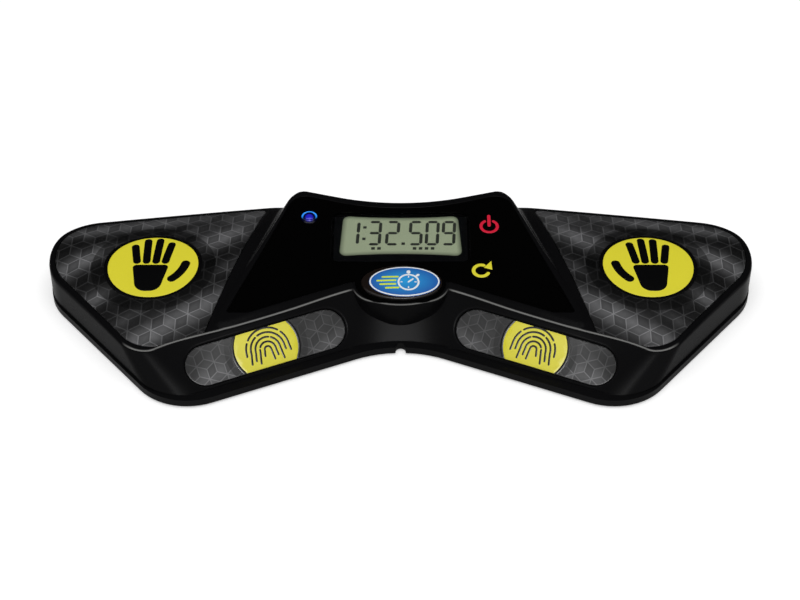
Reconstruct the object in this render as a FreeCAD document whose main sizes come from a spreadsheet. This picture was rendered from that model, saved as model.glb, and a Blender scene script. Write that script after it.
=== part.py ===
import FreeCAD, Part
import math
import os
import Sketcher

V = FreeCAD.Vector
X_AXIS, Y_AXIS, Z_AXIS = V(1, 0, 0), V(0, 1, 0), V(0, 0, 1)

# Driving dimensions, in millimetres and degrees.  The timer stands on z = 0 with its middle on the
# Z axis, its display reads from the front (-Y) and its two wings reach out along -X and +X.
SIZES = [
    # outline of the base, one half; the other half is its mirror image
    ("notch_y", -18.85, "middle of the front edge, before its rounding"),
    ("corner_x", 88.2, "front corner of a wing, before its rounding"),
    ("corner_y", -57.1, "front corner of a wing, before its rounding"),
    ("tip_x", 162.33, "outer tip of a wing, before its rounding"),
    ("tip_y", 31.22, "outer tip of a wing, before its rounding"),
    ("ear_x", 49.1, "end of a wing's back edge, where the console begins"),
    ("ear_y", 52.72, "end of a wing's back edge, where the console begins"),
    ("dip_y", 39.85, "middle of the hollow back edge, before its rounding"),
    ("notch_round", 44.0, "radius of the front middle"),
    ("corner_round", 24.0, "radius of a front corner"),
    ("tip_round", 25.0, "radius of an outer tip"),
    ("ear_round", 30.0, "radius where the back edge turns"),
    ("dip_round", 100.0, "radius of the hollow back"),
    # shell heights
    ("foot_proud", 0.8, "feet below the base"),
    ("lip_height", 3.0, "height of the base's visible edge"),
    ("base_floor", 2.6, "thickness of the base"),
    ("thumb_notch", 2.0, "radius of the small notch in the middle of the base's front edge"),
    ("thumb_notch_in", 0.4, "centre of the notch behind the edge"),
    ("least_round", 0.6, "smallest radius of a moved corner"),
    ("tool_reach", 2.8, "cutting shapes start this far outside a face"),
    ("tool_room", 6.0, "cutting shapes reach this far above the rim level"),
    ("rim_level", 20.0, "height at which the upper outline is given"),
    ("parting_step", 0.8, "housing set back from the base's edge at the sides and the back"),
    ("front_ledge", 3.2, "housing set back from the base's edge at the front"),
    ("wall_draft", 0.5, "side and back walls lean in by this up to the rim level"),
    ("front_run_middle", 12.0, "front face leans back by this at the middle"),
    ("front_run_corner", 25.0, "front face leans back by this at the corners"),
    ("wall", 2.2, "wall of both shells"),
    ("crown_radius", 137.0, "radius of the arched top of the wings"),
    ("crown_top", 20.1, "highest line of the arched wings"),
    ("crown_y", 6.8, "place of the highest line"),
    # console
    ("panel_front_z", 18.61, "height of the panel at its front edge"),
    ("console_tilt", 5.3, "the panel rises to the back by this angle"),
    ("panel_front_y", -19.0, "front edge of the panel"),
    ("panel_outer_x", 67.7, "front outer corner of the panel"),
    ("panel_inner_x", 59.0, "where the front edge turns to the middle"),
    ("panel_middle_y", 4.8, "where the two front edges would meet"),
    ("panel_back_x", 43.0, "back corner of the panel"),
    ("panel_back_y", 46.55, "back corner of the panel"),
    ("panel_dip_y", 34.25, "middle of the panel's back edge, before its rounding"),
    ("panel_back_round", 7.0, "radius of the back corners of the panel"),
    ("panel_thick", 1.0, "thickness of the panel"),
    ("console_lip", 2.6, "frame of the housing beside and before the panel"),
    ("console_back_lip", 3.6, "frame of the housing behind the panel"),
    ("console_skin", 1.6, "housing below the panel"),
    ("flank_slope", 1.3, "rise of the console's flank over its run"),
    ("nose_low", 5.0, "lower end of the nose's skirt, inside the front face"),
    ("nose_half", 19.4, "half width of the round nose"),
    ("nose_front_y", -15.35, "front of the nose"),
    ("nose_round", 12.5, "radius of the nose's corners"),
    ("nose_lap", 4.0, "the nose runs back into the console by this"),
    ("nose_lip", 1.6, "frame of the housing round the nose's top"),
    # display
    ("window_half", 28.0, "half width of the display window"),
    ("window_front_y", 8.25, "front edge of the window"),
    ("window_back_y", 35.65, "back edge of the window"),
    ("window_round", 4.0, "radius of the window's corners"),
    ("fit_gap", 0.15, "gap round a piece that is let in"),
    ("lcd_thick", 2.6, "thickness of the display"),
    ("lcd_margin", 1.2, "the display is this much smaller than its window, each side"),
    ("lcd_gap", 0.1, "gap between the panel's underside and the display"),
    ("lcd_lean", 0.25, "the display's lower front edge set back, as it leans with the panel"),
    ("strip_gap", 0.05, "gap between a contact strip and the display"),
    ("strip_width", 2.0, "width of a contact strip below the display"),
    # light, badge and touch keys
    ("light_x", 37.1, "status light, left of the middle"),
    ("light_y", 32.75, "status light"),
    ("lens_radius", 3.3, "radius of the light's lens"),
    ("lens_proud", 1.6, "lens above the panel"),
    ("lens_depth", 2.6, "lens below the panel's face"),
    ("diode_radius", 1.5, "radius of the diode"),
    ("diode_gap", 0.2, "gap between the diode and the lens"),
    ("badge_y", -3.15, "middle of the badge"),
    ("badge_half_x", 15.8, "half width of the badge's base"),
    ("badge_half_y", 8.6, "half depth of the badge's base"),
    ("badge_base_thick", 0.8, "thickness of the badge's base"),
    ("badge_rim", 1.6, "base seen round the badge's face"),
    ("badge_face_thick", 0.9, "thickness of the badge's face"),
    ("power_key_x", 35.4, "power key"),
    ("power_key_y", 29.15, "power key"),
    ("reset_key_x", 31.6, "reset key"),
    ("reset_key_y", 3.45, "reset key"),
    ("key_gap", 0.1, "gap between an electrode and the console's skin"),
    ("key_radius", 3.6, "radius of a touch key's electrode"),
    # palm pads and their sensors
    ("pad_level", 15.0, "height of the outline that the pads follow"),
    ("pad_margin_front", 5.1, "rim in front of a pad"),
    ("pad_margin_corner", 3.75, "rim beside a pad at the front corner"),
    ("pad_margin_tip", 2.55, "rim beside a pad at the tip"),
    ("pad_margin_back", 2.6, "rim behind a pad"),
    ("pad_gap_front", 2.5, "console's frame to the pad, at the panel's front"),
    ("pad_gap_back", 9.8, "console's frame to the pad, at the panel's back"),
    ("pad_front_round", 16.0, "radius of a pad's front corner"),
    ("pad_tip_round", 22.0, "radius of a pad's tip"),
    ("pad_inner_round", 1.5, "radius of a pad's inner corners"),
    ("pad_thick", 0.8, "thickness of a palm pad"),
    ("palm_x", 98.1, "middle of the palm spot"),
    ("palm_y", 7.25, "middle of the palm spot"),
    ("sensor_radius", 17.0, "radius of a palm sensor"),
    ("sensor_thick", 0.6, "thickness of a sensor plate"),
    ("sensor_gap", 0.05, "glue between a sensor and the housing"),
    # finger pads in the front face
    ("finger_x", 51.7, "middle of a finger pad"),
    ("finger_level", 10.4, "height of the middle of a finger pad"),
    ("finger_roll", 2.4, "a finger pad falls to its outer end by this angle"),
    ("finger_length", 65.0, "length of a finger pad's recess"),
    ("finger_width", 15.9, "width of a finger pad's recess"),
    ("finger_depth", 1.5, "depth of the recess"),
    ("finger_pad_thick", 0.7, "thickness of a finger pad"),
    ("finger_sensor_length", 26.0, "length of a finger sensor"),
    ("finger_sensor_width", 13.0, "width of a finger sensor"),
    # batteries: two AAA cells side by side across the timer
    ("bay_y", 13.25, "middle of the battery bay"),
    ("cell_radius", 5.25, "radius of an AAA cell"),
    ("cell_length", 43.5, "AAA cell without its button"),
    ("button_radius", 1.9, "radius of a cell's button"),
    ("button_length", 1.0, "length of a cell's button"),
    ("cell_gap", 0.4, "gap beside a cell"),
    ("cell_lift", 0.3, "gap between a cell and the door"),
    ("contact_thick", 0.4, "thickness of a contact plate"),
    ("contact_half", 3.6, "half width of a contact plate"),
    ("spring_length", 4.0, "length of a pressed battery spring"),
    ("spring_radius", 2.6, "middle radius of a battery spring"),
    ("spring_wire", 0.6, "diameter of the spring's wire"),
    ("spring_turns", 3.0, "turns of a battery spring"),
    ("bay_wall", 1.4, "wall of the battery bay"),
    ("bay_roof", 1.0, "roof of the battery bay"),
    ("door_thick", 1.5, "thickness of the battery door"),
    ("door_ledge", 3.0, "the door overlaps its opening by this"),
    ("door_gap", 0.3, "gap round the battery door"),
    ("door_seat_gap", 0.05, "gap between the door and its seat"),
    ("door_grip", 12.0, "width of the door's grip ribs"),
    ("grip_inset", 2.5, "first grip groove from the door's front edge"),
    ("grip_pitch", 1.6, "spacing of the grip grooves"),
    ("groove_width", 0.8, "width of a grip groove"),
    ("groove_depth", 0.5, "depth of a grip groove"),
    # circuit board
    ("board_half", 46.0, "half width of the main board"),
    ("board_front_y", -0.75, "front edge of the board"),
    ("board_back_y", 34.25, "back edge of the board"),
    ("board_z", 14.8, "underside of the board"),
    ("board_thick", 1.6, "thickness of the board"),
    ("standoff_end", 3.5, "board screws from the board's ends"),
    ("standoff_inset", 3.2, "board screws from the board's long edges"),
    ("standoff_radius", 3.0, "radius of a board post"),
    ("chip_side", 9.0, "side of the processor"),
    ("chip_thick", 1.4, "thickness of the processor"),
    ("chip_x", 37.0, "processor, left of the middle"),
    ("chip_y", 17.25, "processor"),
    ("ribbon_width", 4.5, "width of a sensor ribbon"),
    ("ribbon_thick", 0.4, "thickness of a sensor ribbon"),
    ("ribbon_gap", 0.02, "solder between a ribbon and the board"),
    ("ribbon_lap", 4.0, "a ribbon lies on the board by this"),
    # data jack in the back wall
    ("jack_z", 11.6, "axis of the data jack"),
    ("jack_bore", 1.8, "radius of the jack's bore"),
    ("jack_bore_length", 12.0, "depth of the jack's bore"),
    ("jack_nose", 3.0, "radius of the jack's bushing"),
    ("jack_half", 3.5, "half width of the jack's body"),
    ("jack_body_length", 12.0, "length of the jack's body"),
    ("jack_setback", 1.2, "jack's body behind the back wall"),
    ("jack_end", 1.0, "jack's body past the end of its bore"),
    # screws and feet
    ("screw_head_radius", 2.8, "radius of a case screw's head"),
    ("screw_head_height", 1.9, "height of a case screw's head"),
    ("screw_radius", 1.45, "radius of a case screw's shank"),
    ("screw_length", 7.0, "length of a case screw's shank"),
    ("screw_seat", 3.0, "height at which the screw heads bear"),
    ("post_radius", 3.4, "radius of a housing post"),
    ("post_low", 6.0, "lower end of a housing post"),
    ("boss_radius", 4.6, "radius of a base boss"),
    ("screw_gap", 0.3, "gap round a screw in its hole"),
    ("pilot_gap", 0.05, "gap round a screw in its post"),
    ("pilot_end", 0.6, "a post's hole goes past the screw's end by this"),
    ("drive_radius", 1.3, "radius of the recess in a screw head"),
    ("drive_depth", 1.0, "depth of the recess in a screw head"),
    ("board_screw_head", 2.2, "radius of a board screw's head"),
    ("board_screw_height", 1.3, "height of a board screw's head"),
    ("board_screw_radius", 1.1, "radius of a board screw's shank"),
    ("board_screw_length", 7.0, "length of a board screw's shank"),
    ("foot_radius", 6.0, "radius of a rubber foot"),
    ("foot_thick", 1.8, "thickness of a rubber foot"),
    ("foot_glue", 0.02, "glue above a rubber foot"),
]

# Places seen from above, one side; the other side is the mirror image.
SCREW_PLACES = [(125.0, 7.25), (93.0, -33.75), (66.0, 37.25), (38.0, -12.75)]
FOOT_PLACES = [(117.0, 25.25), (77.0, -36.75), (41.0, 40.25)]

doc = FreeCAD.newDocument("SpeedCubeTimer")
sheet = doc.addObject("Spreadsheet::Sheet", "Sizes")
for row, (alias, value, meaning) in enumerate(SIZES, 1):
    sheet.set(f"A{row}", meaning)
    sheet.set(f"B{row}", str(value))
    sheet.setAlias(f"B{row}", alias)
doc.recompute()


def size(alias):
    """Value of one cell of the sheet."""
    return float(sheet.get(alias))


# ---------------------------------------------------------------- outlines and lofts

def shifted(corners, moves):
    """Outline whose edge i, from corner i to the next, moves inward by moves[i] at its two ends.

    The corners (x, y, radius) run clockwise seen from above.  A negative move goes outward.  A
    rounding shrinks with the move where the corner is convex and grows where it is hollow.
    """
    count = len(corners)
    lines = []
    for index in range(count):
        start = V(corners[index][0], corners[index][1], 0)
        end = V(corners[(index + 1) % count][0], corners[(index + 1) % count][1], 0)
        ahead = (end - start).normalize()
        inward = V(ahead.y, -ahead.x, 0)
        first = start + inward * moves[index][0]
        last = end + inward * moves[index][1]
        lines.append((first, (last - first).normalize()))
    result = []
    for index in range(count):
        (a, u), (b, w) = lines[index - 1], lines[index]
        turn = u.x * w.y - u.y * w.x
        along = ((b.x - a.x) * w.y - (b.y - a.y) * w.x) / turn
        meet = a + u * along
        move = (moves[index - 1][1] + moves[index][0]) / 2
        radius = corners[index][2] + (move if turn > 0 else -move)
        result.append((meet.x, meet.y, max(radius, size("least_round"))))
    return result


def evenly(corners, distance):
    """The outline moved inward by one distance on every edge."""
    return shifted(corners, [(distance, distance)] * len(corners))


def rounded_wire(corners, level):
    """Closed wire at one height: straight edges, with an arc at each corner (x, y, radius)."""
    count = len(corners)
    starts, middles, ends = [], [], []
    for index, (x, y, radius) in enumerate(corners):
        here = V(x, y, level)
        before = corners[index - 1]
        after = corners[(index + 1) % count]
        back = (V(before[0], before[1], level) - here).normalize()
        ahead = (V(after[0], after[1], level) - here).normalize()
        half_angle = back.getAngle(ahead) / 2
        bisector = (back + ahead).normalize()
        starts.append(here + back * (radius / math.tan(half_angle)))
        ends.append(here + ahead * (radius / math.tan(half_angle)))
        middles.append(here + bisector * (radius / math.sin(half_angle) - radius))
    edges = []
    for index in range(count):
        edges.append(Part.Arc(starts[index], middles[index], ends[index]).toShape())
        edges.append(Part.LineSegment(ends[index], starts[(index + 1) % count]).toShape())
    return Part.Wire(edges)


def prism(corners, low, high):
    """Upright solid with one outline."""
    return Part.Face(rounded_wire(corners, low)).extrude(V(0, 0, high - low))


def with_mirror(half):
    """A half outline, from the front middle by the left side to the back middle, made whole."""
    return half + [(-x, y, radius) for x, y, radius in reversed(half[1:-1])]


def mirror(shape):
    """The same shape on the other side."""
    return shape.mirror(V(0, 0, 0), X_AXIS)


def front_middle(corners):
    """Where an outline's front edge crosses the middle line."""
    return middle_y(corners[0], corners[1])


def back_middle(corners):
    """Where an outline's back edge crosses the middle line."""
    return middle_y(corners[4], corners[3])


def middle_y(here, beside):
    """Where the rounding of a corner on the middle line crosses it."""
    run, rise = abs(beside[0]), beside[1] - here[1]
    sag = here[2] * (math.hypot(run, rise) / run - 1)
    return here[1] + math.copysign(sag, rise)


def base_outline():
    """Outline of the base, clockwise from the front middle."""
    return with_mirror([
        (0.0, size("notch_y"), size("notch_round")),
        (-size("corner_x"), size("corner_y"), size("corner_round")),
        (-size("tip_x"), size("tip_y"), size("tip_round")),
        (-size("ear_x"), size("ear_y"), size("ear_round")),
        (0.0, size("dip_y"), size("dip_round")),
    ])


LIP_TOP = size("foot_proud") + size("lip_height")
RIM_RISE = size("rim_level") - LIP_TOP
FRONT_RUN = (size("front_run_middle") + size("front_run_corner")) / 2
FRONT_STRETCH = math.hypot(FRONT_RUN, RIM_RISE) / RIM_RISE
TALL = size("rim_level") + size("tool_room")
CUT_LOW = LIP_TOP - size("tool_reach")


def housing_outline(level, depth=0.0):
    """Outline of the housing at one height, moved inward by a wall's depth square to its faces."""
    rise = (level - LIP_TOP) / RIM_RISE
    side = size("parting_step") + depth + size("wall_draft") * rise
    near = size("front_ledge") + depth * FRONT_STRETCH
    middle = near + size("front_run_middle") * rise
    corner = near + size("front_run_corner") * rise
    moves = [(middle, corner)] + [(side, side)] * 6 + [(corner, middle)]
    return shifted(base_outline(), moves)


def tall_body(depth=0.0, low=LIP_TOP):
    """Leaning walls of the housing, carried up past the top."""
    wires = [rounded_wire(housing_outline(level, depth), level) for level in (low, TALL)]
    return Part.makeLoft(wires, True, True)


def crown(depth=0.0):
    """Lying cylinder under the arched top, or below it by a depth."""
    length = 2 * size("tip_x")
    centre = V(-length / 2, size("crown_y"), size("crown_top") - size("crown_radius"))
    return Part.makeCylinder(size("crown_radius") - depth, length, centre, X_AXIS)


def panel_z(y):
    """Height of the panel's face."""
    rise = math.tan(math.radians(size("console_tilt")))
    return size("panel_front_z") + (y - size("panel_front_y")) * rise


def under_panel(depth=0.0):
    """Everything below the panel's tilted face, or a depth below that."""
    reach = 2 * size("tip_x")
    slab = Part.makeBox(reach, reach, reach, V(-reach / 2, -reach / 2, -reach - depth))
    slab.rotate(V(0, 0, 0), X_AXIS, size("console_tilt"))
    slab.translate(V(0, size("panel_front_y"), size("panel_front_z")))
    return slab


def console_outline():
    """Outline of the panel without the nose."""
    return with_mirror([
        (0.0, size("panel_middle_y"), 2.0),
        (-size("panel_inner_x"), size("panel_front_y"), 2.0),
        (-size("panel_outer_x"), size("panel_front_y"), 1.0),
        (-size("panel_back_x"), size("panel_back_y"), size("panel_back_round")),
        (0.0, size("panel_dip_y"), size("dip_round")),
    ])


def console_block(depth=0.0):
    """Raised console: its flanks slope out from the frame round the panel."""
    corners = console_outline()
    count = len(corners)
    side_lip, back_lip = size("console_lip"), size("console_back_lip")
    lips = [side_lip] * 3 + [back_lip] * 2 + [side_lip] * 3
    wires = []
    for level in (size("panel_front_z") / 2, TALL):
        moves = []
        for index in range(count):
            ends = (corners[index], corners[(index + 1) % count])
            drops = [(level - panel_z(end[1])) / size("flank_slope") for end in ends]
            moves.append(tuple(drop + depth - lips[index] for drop in drops))
        wires.append(rounded_wire(shifted(corners, moves), level))
    return Part.makeLoft(wires, True, True)


def nose_corners(inset):
    """Outline of the nose, moved inward."""
    half = size("nose_half") - inset
    front = size("nose_front_y") + inset
    radius = size("nose_round") - inset
    back = size("panel_middle_y") + size("nose_lap")
    return [(half, front, radius), (-half, front, radius), (-half, back, 1.0), (half, back, 1.0)]


def front_face_place():
    """Place on the left front face: X along the face, Y up it, Z out of it."""
    def at(x, level):
        corners = housing_outline(level)
        (x0, y0, _), (x1, y1, _) = corners[0], corners[1]
        return V(x, y0 + (y1 - y0) * (x - x0) / (x1 - x0), level)
    x, level = -size("finger_x"), size("finger_level")
    along = at(x + 1, level) - at(x - 1, level)
    up = at(x, level + 1) - at(x, level - 1)
    upright = FreeCAD.Rotation(along, up, along.cross(up), "XYZ")
    roll = FreeCAD.Rotation(Z_AXIS, size("finger_roll"))
    return FreeCAD.Placement(at(x, level), upright.multiply(roll))


def slot_prism(length, width, reach=12.0):
    """Long round-ended prism square to the left front face."""
    half, radius = (length - width) / 2, width / 2
    upper = Part.LineSegment(V(-half, radius, 0), V(half, radius, 0)).toShape()
    right = Part.Arc(V(half, radius, 0), V(half + radius, 0, 0), V(half, -radius, 0)).toShape()
    lower = Part.LineSegment(V(half, -radius, 0), V(-half, -radius, 0)).toShape()
    left = Part.Arc(V(-half, -radius, 0), V(-half - radius, 0, 0), V(-half, radius, 0)).toShape()
    solid = Part.Face(Part.Wire([upper, right, lower, left])).extrude(V(0, 0, 2 * reach))
    solid.translate(V(0, 0, -reach))
    solid.Placement = front_face_place().multiply(solid.Placement)
    return solid


def pad_outline(gap=0.0):
    """Outline of the left palm pad, moved inward by a gap."""
    corners = housing_outline(size("pad_level"))
    front = size("pad_margin_front")
    side = (size("pad_margin_corner"), size("pad_margin_tip"))
    back = size("pad_margin_back")
    moves = [(front, front), side, (back, back)] + [(back, back)] * 3 + [side, (front, front)]
    ring = shifted(corners, moves)
    foot = V(-size("panel_outer_x") - size("console_lip") - size("pad_gap_front"),
             size("panel_front_y"), 0)
    head = V(-size("panel_back_x") - size("console_lip") - size("pad_gap_back"),
             size("panel_back_y"), 0)

    def crossing(first, last):
        """Where the pad's inner edge meets the line through two corners."""
        u, w = head - foot, V(last[0] - first[0], last[1] - first[1], 0)
        across = V(first[0], first[1], 0) - foot
        along = (across.x * w.y - across.y * w.x) / (u.x * w.y - u.y * w.x)
        meet = foot + u * along
        return (meet.x, meet.y, size("pad_inner_round"))

    corner = (ring[1][0], ring[1][1], size("pad_front_round"))
    tip = (ring[2][0], ring[2][1], size("pad_tip_round"))
    outline = [crossing(ring[0], ring[1]), corner, tip, crossing(ring[2], ring[3])]
    return evenly(outline, gap) if gap else outline


def add_solid(label, shape):
    """Puts a worked-out solid into the document under its own name."""
    feature = doc.addObject("Part::Feature", label)
    feature.Shape = shape
    feature.Label = label
    return feature


def both_sides(places):
    """Every place of a list and its mirror image."""
    return [(side * x, y) for x, y in places for side in (-1, 1)]


# ---------------------------------------------------------------- upper housing

SCREWS = both_sides(SCREW_PLACES)
FEET = both_sides(FOOT_PLACES)
BOARD_TOP = size("board_z") + size("board_thick")
FINGER_REST = size("finger_depth") - size("finger_pad_thick")


def panel_prism(inset=0.0):
    """Upright prism over the whole panel, nose included."""
    console = prism(evenly(console_outline(), inset) if inset else console_outline(),
                    LIP_TOP, TALL)
    nose = prism(nose_corners(size("nose_lip") + inset), LIP_TOP, TALL)
    return console.fuse(nose).removeSplitter()


def display_place(inset, radius):
    """Prism over the display window, moved inward."""
    half = size("window_half") - inset
    front, back = size("window_front_y") + inset, size("window_back_y") - inset
    corners = [(half, front, radius), (-half, front, radius), (-half, back, radius), (half, back, radius)]
    return prism(corners, LIP_TOP, TALL)


def light_hole():
    """Hole for the lens, square to the panel."""
    hole = Part.makeCylinder(size("lens_radius") + size("fit_gap"), 2 * TALL, V(0, 0, -TALL))
    hole.rotate(V(0, 0, 0), X_AXIS, size("console_tilt"))
    hole.translate(V(-size("light_x"), size("light_y"), panel_z(size("light_y"))))
    return hole.common(above_board())


def above_board():
    """Everything above the circuit board, where the panel's holes may go."""
    reach = 2 * size("tip_x")
    return Part.makeBox(reach, reach, TALL, V(-reach / 2, -reach / 2, BOARD_TOP))


def make_upper_housing():
    """One shell: arched wings, sloping console, nose, leaning front faces and screw posts."""
    raised = console_block().common(under_panel())
    outer = tall_body().common(crown().fuse(raised))
    nose = prism(nose_corners(0.0), size("nose_low"), TALL).common(under_panel())
    outer = outer.fuse(nose).removeSplitter()
    wall = size("wall")
    deck = size("panel_thick") + size("console_skin")
    room = crown(wall).fuse(console_block(wall).common(under_panel(deck)))
    inner = tall_body(wall, CUT_LOW).common(room)
    shell = outer.cut(inner)
    posts = [Part.makeCylinder(size("post_radius"), TALL, V(x, y, size("post_low")))
             for x, y in SCREWS]
    shell = shell.fuse([post.common(outer) for post in posts])
    pilot = size("screw_radius") + size("pilot_gap")
    depth = size("screw_seat") + size("screw_length") + size("pilot_end") - size("post_low")
    shell = shell.cut([Part.makeCylinder(pilot, depth, V(x, y, size("post_low")))
                       for x, y in SCREWS])
    shell = shell.cut(panel_prism().cut(under_panel(size("panel_thick"))))
    module_gap = 2 * size("fit_gap")
    shell = shell.cut([display_place(size("lcd_margin") - module_gap, module_gap), light_hole()])
    pad = prism(pad_outline(), LIP_TOP, TALL).cut(crown(size("pad_thick")))
    slot = slot_prism(size("finger_length"), size("finger_width")).cut(tall_body(size("finger_depth"), CUT_LOW))
    shell = shell.cut([pad, mirror(pad), slot, mirror(slot)])
    bushing = size("jack_nose") + size("fit_gap")
    face = back_middle(housing_outline(size("jack_z")))
    start = V(0, face - 2 * size("wall"), size("jack_z"))
    hole = Part.makeCylinder(bushing, 3 * size("wall"), start, Y_AXIS)
    return shell.cut(hole).removeSplitter()


add_solid("upper_housing", make_upper_housing())


# ---------------------------------------------------------------- base, bay and door

CELL_Z = size("foot_proud") + size("door_thick") + size("cell_lift") + size("cell_radius")
BAY_HALF = (size("cell_length") + size("button_length") + size("spring_length")) / 2 + size("contact_thick")
BAY_DEPTH = 2 * size("cell_radius") + 1.5 * size("cell_gap")
BAY_TOP = CELL_Z + size("cell_radius") + size("cell_gap")
DOOR_HALF = BAY_HALF + size("door_ledge")
DOOR_DEPTH = BAY_DEPTH + size("door_ledge")
STANDOFF_X = size("board_half") - size("standoff_end")
STANDOFFS = both_sides([(STANDOFF_X, size("board_front_y") + size("standoff_inset")),
                        (STANDOFF_X, size("board_back_y") - size("standoff_inset"))])


def bay_box(half_x, half_y, low, high):
    """Box centred on the battery bay."""
    return Part.makeBox(2 * half_x, 2 * half_y, high - low, V(-half_x, size("bay_y") - half_y, low))


def make_base_shell():
    """Tray that closes the housing, with the battery bay, screw bosses and board posts."""
    bottom, floor_top = size("foot_proud"), size("foot_proud") + size("base_floor")
    base = prism(base_outline(), bottom, LIP_TOP)
    base = base.cut(prism(housing_outline(LIP_TOP, size("wall")), floor_top, TALL))
    wall, roof = size("bay_wall"), size("bay_roof")
    bay = bay_box(BAY_HALF + wall, BAY_DEPTH + wall, bottom, BAY_TOP + roof)
    bosses = [Part.makeCylinder(size("boss_radius"), size("post_low") - bottom, V(x, y, bottom))
              for x, y in SCREWS]
    posts = [Part.makeCylinder(size("standoff_radius"), size("board_z") - bottom, V(x, y, bottom))
             for x, y in STANDOFFS]
    base = base.fuse([bay] + bosses + posts)
    base = base.cut(bay_box(BAY_HALF, BAY_DEPTH, bottom, BAY_TOP))
    seat = bottom + size("door_thick") + size("door_seat_gap")
    base = base.cut(bay_box(DOOR_HALF + size("door_gap"), DOOR_DEPTH + size("door_gap"), 0.0, seat))
    through = size("screw_radius") + size("screw_gap")
    head = size("screw_head_radius") + size("screw_gap")
    holes = [Part.makeCylinder(through, size("post_low"), V(x, y, 0)) for x, y in SCREWS]
    holes += [Part.makeCylinder(head, size("screw_seat"), V(x, y, 0)) for x, y in SCREWS]
    pilot = size("board_screw_radius") + size("pilot_gap")
    holes += [Part.makeCylinder(pilot, size("board_screw_length"),
                                V(x, y, size("board_z") - size("board_screw_length")))
              for x, y in STANDOFFS]
    edge_y = front_middle(base_outline()) + size("thumb_notch_in")
    holes.append(Part.makeCylinder(size("thumb_notch"), TALL, V(0, edge_y, 0)))
    seat_radius = size("foot_radius") + size("fit_gap")
    seat_depth = size("foot_thick") + size("foot_glue")
    holes += [Part.makeCylinder(seat_radius, seat_depth, V(x, y, 0)) for x, y in FEET]
    return base.cut(holes).removeSplitter()


add_solid("base_shell", make_base_shell())


def bind(feature, **links):
    """Ties properties to the sheet; a double underscore stands for a dot."""
    for name, expression in links.items():
        feature.setExpression(name.replace("__", "."), expression)
    return feature


def plain(kind, name, **links):
    """A Part primitive whose sizes follow the sheet."""
    return bind(doc.addObject(kind, name), **links)


def named(feature, label):
    """Gives a finished piece its node name."""
    feature.Label = label
    return feature


def turned(feature, axis, angle):
    """Turns a primitive before its place is tied to the sheet."""
    feature.Placement = FreeCAD.Placement(V(0, 0, 0), FreeCAD.Rotation(axis, angle))
    return feature


CELL_Z_RULE = "Sizes.foot_proud + Sizes.door_thick + Sizes.cell_lift + Sizes.cell_radius"
BAY_HALF_RULE = ("(Sizes.cell_length + Sizes.button_length + Sizes.spring_length) / 2"
                 " + Sizes.contact_thick")
BAY_DEPTH_RULE = "(2 * Sizes.cell_radius + 1.5 * Sizes.cell_gap)"
BOARD_TOP_RULE = "(Sizes.board_z + Sizes.board_thick)"


def rows_of_cells():
    """The two cells lie beside each other, turned end for end."""
    offset = "(Sizes.cell_radius + Sizes.cell_gap / 2)"
    return [(-1, f"Sizes.bay_y - {offset}"), (1, f"Sizes.bay_y + {offset}")]


def make_batteries():
    """Two AAA cells, each a can with its button."""
    pieces = []
    for side, y_rule in rows_of_cells():
        body_start = f"{side} * ({BAY_HALF_RULE} - Sizes.contact_thick - Sizes.spring_length)"
        can = turned(doc.addObject("Part::Cylinder", "Can"), Y_AXIS, -90 * side)
        bind(can, Radius="Sizes.cell_radius", Height="Sizes.cell_length",
             Placement__Base__x=body_start, Placement__Base__y=y_rule, Placement__Base__z=CELL_Z_RULE)
        button = turned(doc.addObject("Part::Cylinder", "Button"), Y_AXIS, -90 * side)
        bind(button, Radius="Sizes.button_radius", Height="Sizes.cell_length + Sizes.button_length",
             Placement__Base__x=body_start, Placement__Base__y=y_rule, Placement__Base__z=CELL_Z_RULE)
        cell = doc.addObject("Part::Fuse", "Cell")
        cell.Base, cell.Tool = can, button
        pieces.append(cell)
    pack = doc.addObject("Part::Compound", "Batteries")
    pack.Links = pieces
    named(pack, "batteries")


def make_battery_contacts():
    """Four contact plates on the end walls of the bay."""
    pieces = []
    for side, y_rule in rows_of_cells():
        for end in (-1, 1):
            x_rule = f"{end} * ({BAY_HALF_RULE})" + (" - Sizes.contact_thick" if end > 0 else "")
            pieces.append(plain("Part::Box", "ContactPlate", Length="Sizes.contact_thick",
                                Width="2 * Sizes.contact_half", Height="2 * Sizes.contact_half",
                                Placement__Base__x=x_rule,
                                Placement__Base__y=f"{y_rule} - Sizes.contact_half",
                                Placement__Base__z=f"{CELL_Z_RULE} - Sizes.contact_half"))
    plates = doc.addObject("Part::Compound", "ContactPlates")
    plates.Links = pieces
    named(plates, "battery_contacts")


def make_battery_springs():
    """Two coil springs, one at the flat end of each cell, each a chain of leaning half rings."""
    wire, radius, turns = size("spring_wire"), size("spring_radius"), round(size("spring_turns"))
    rise = (size("spring_length") - 2 * wire) / (2 * turns)
    halves = []
    for half in range(2 * turns):
        side = 1 if half % 2 == 0 else -1
        level = wire + half * rise
        section = Part.Face(Part.Wire(Part.makeCircle(wire / 2, V(side * radius, 0, level), Y_AXIS)))
        lean = V(side * rise, 0, 2 * radius)
        halves.append(section.revolve(V(0, 0, level + rise / 2), lean, 180))
    spring = halves[0].fuse(halves[1:])
    solids = []
    for side in (-1, 1):
        coil = spring.copy()
        coil.rotate(V(0, 0, 0), Y_AXIS, -90 * side)
        y = size("bay_y") + side * (size("cell_radius") + size("cell_gap") / 2)
        coil.translate(V(side * (BAY_HALF - size("contact_thick")), y, CELL_Z))
        solids.append(coil)
    add_solid("battery_springs", Part.makeCompound(solids))


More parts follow.
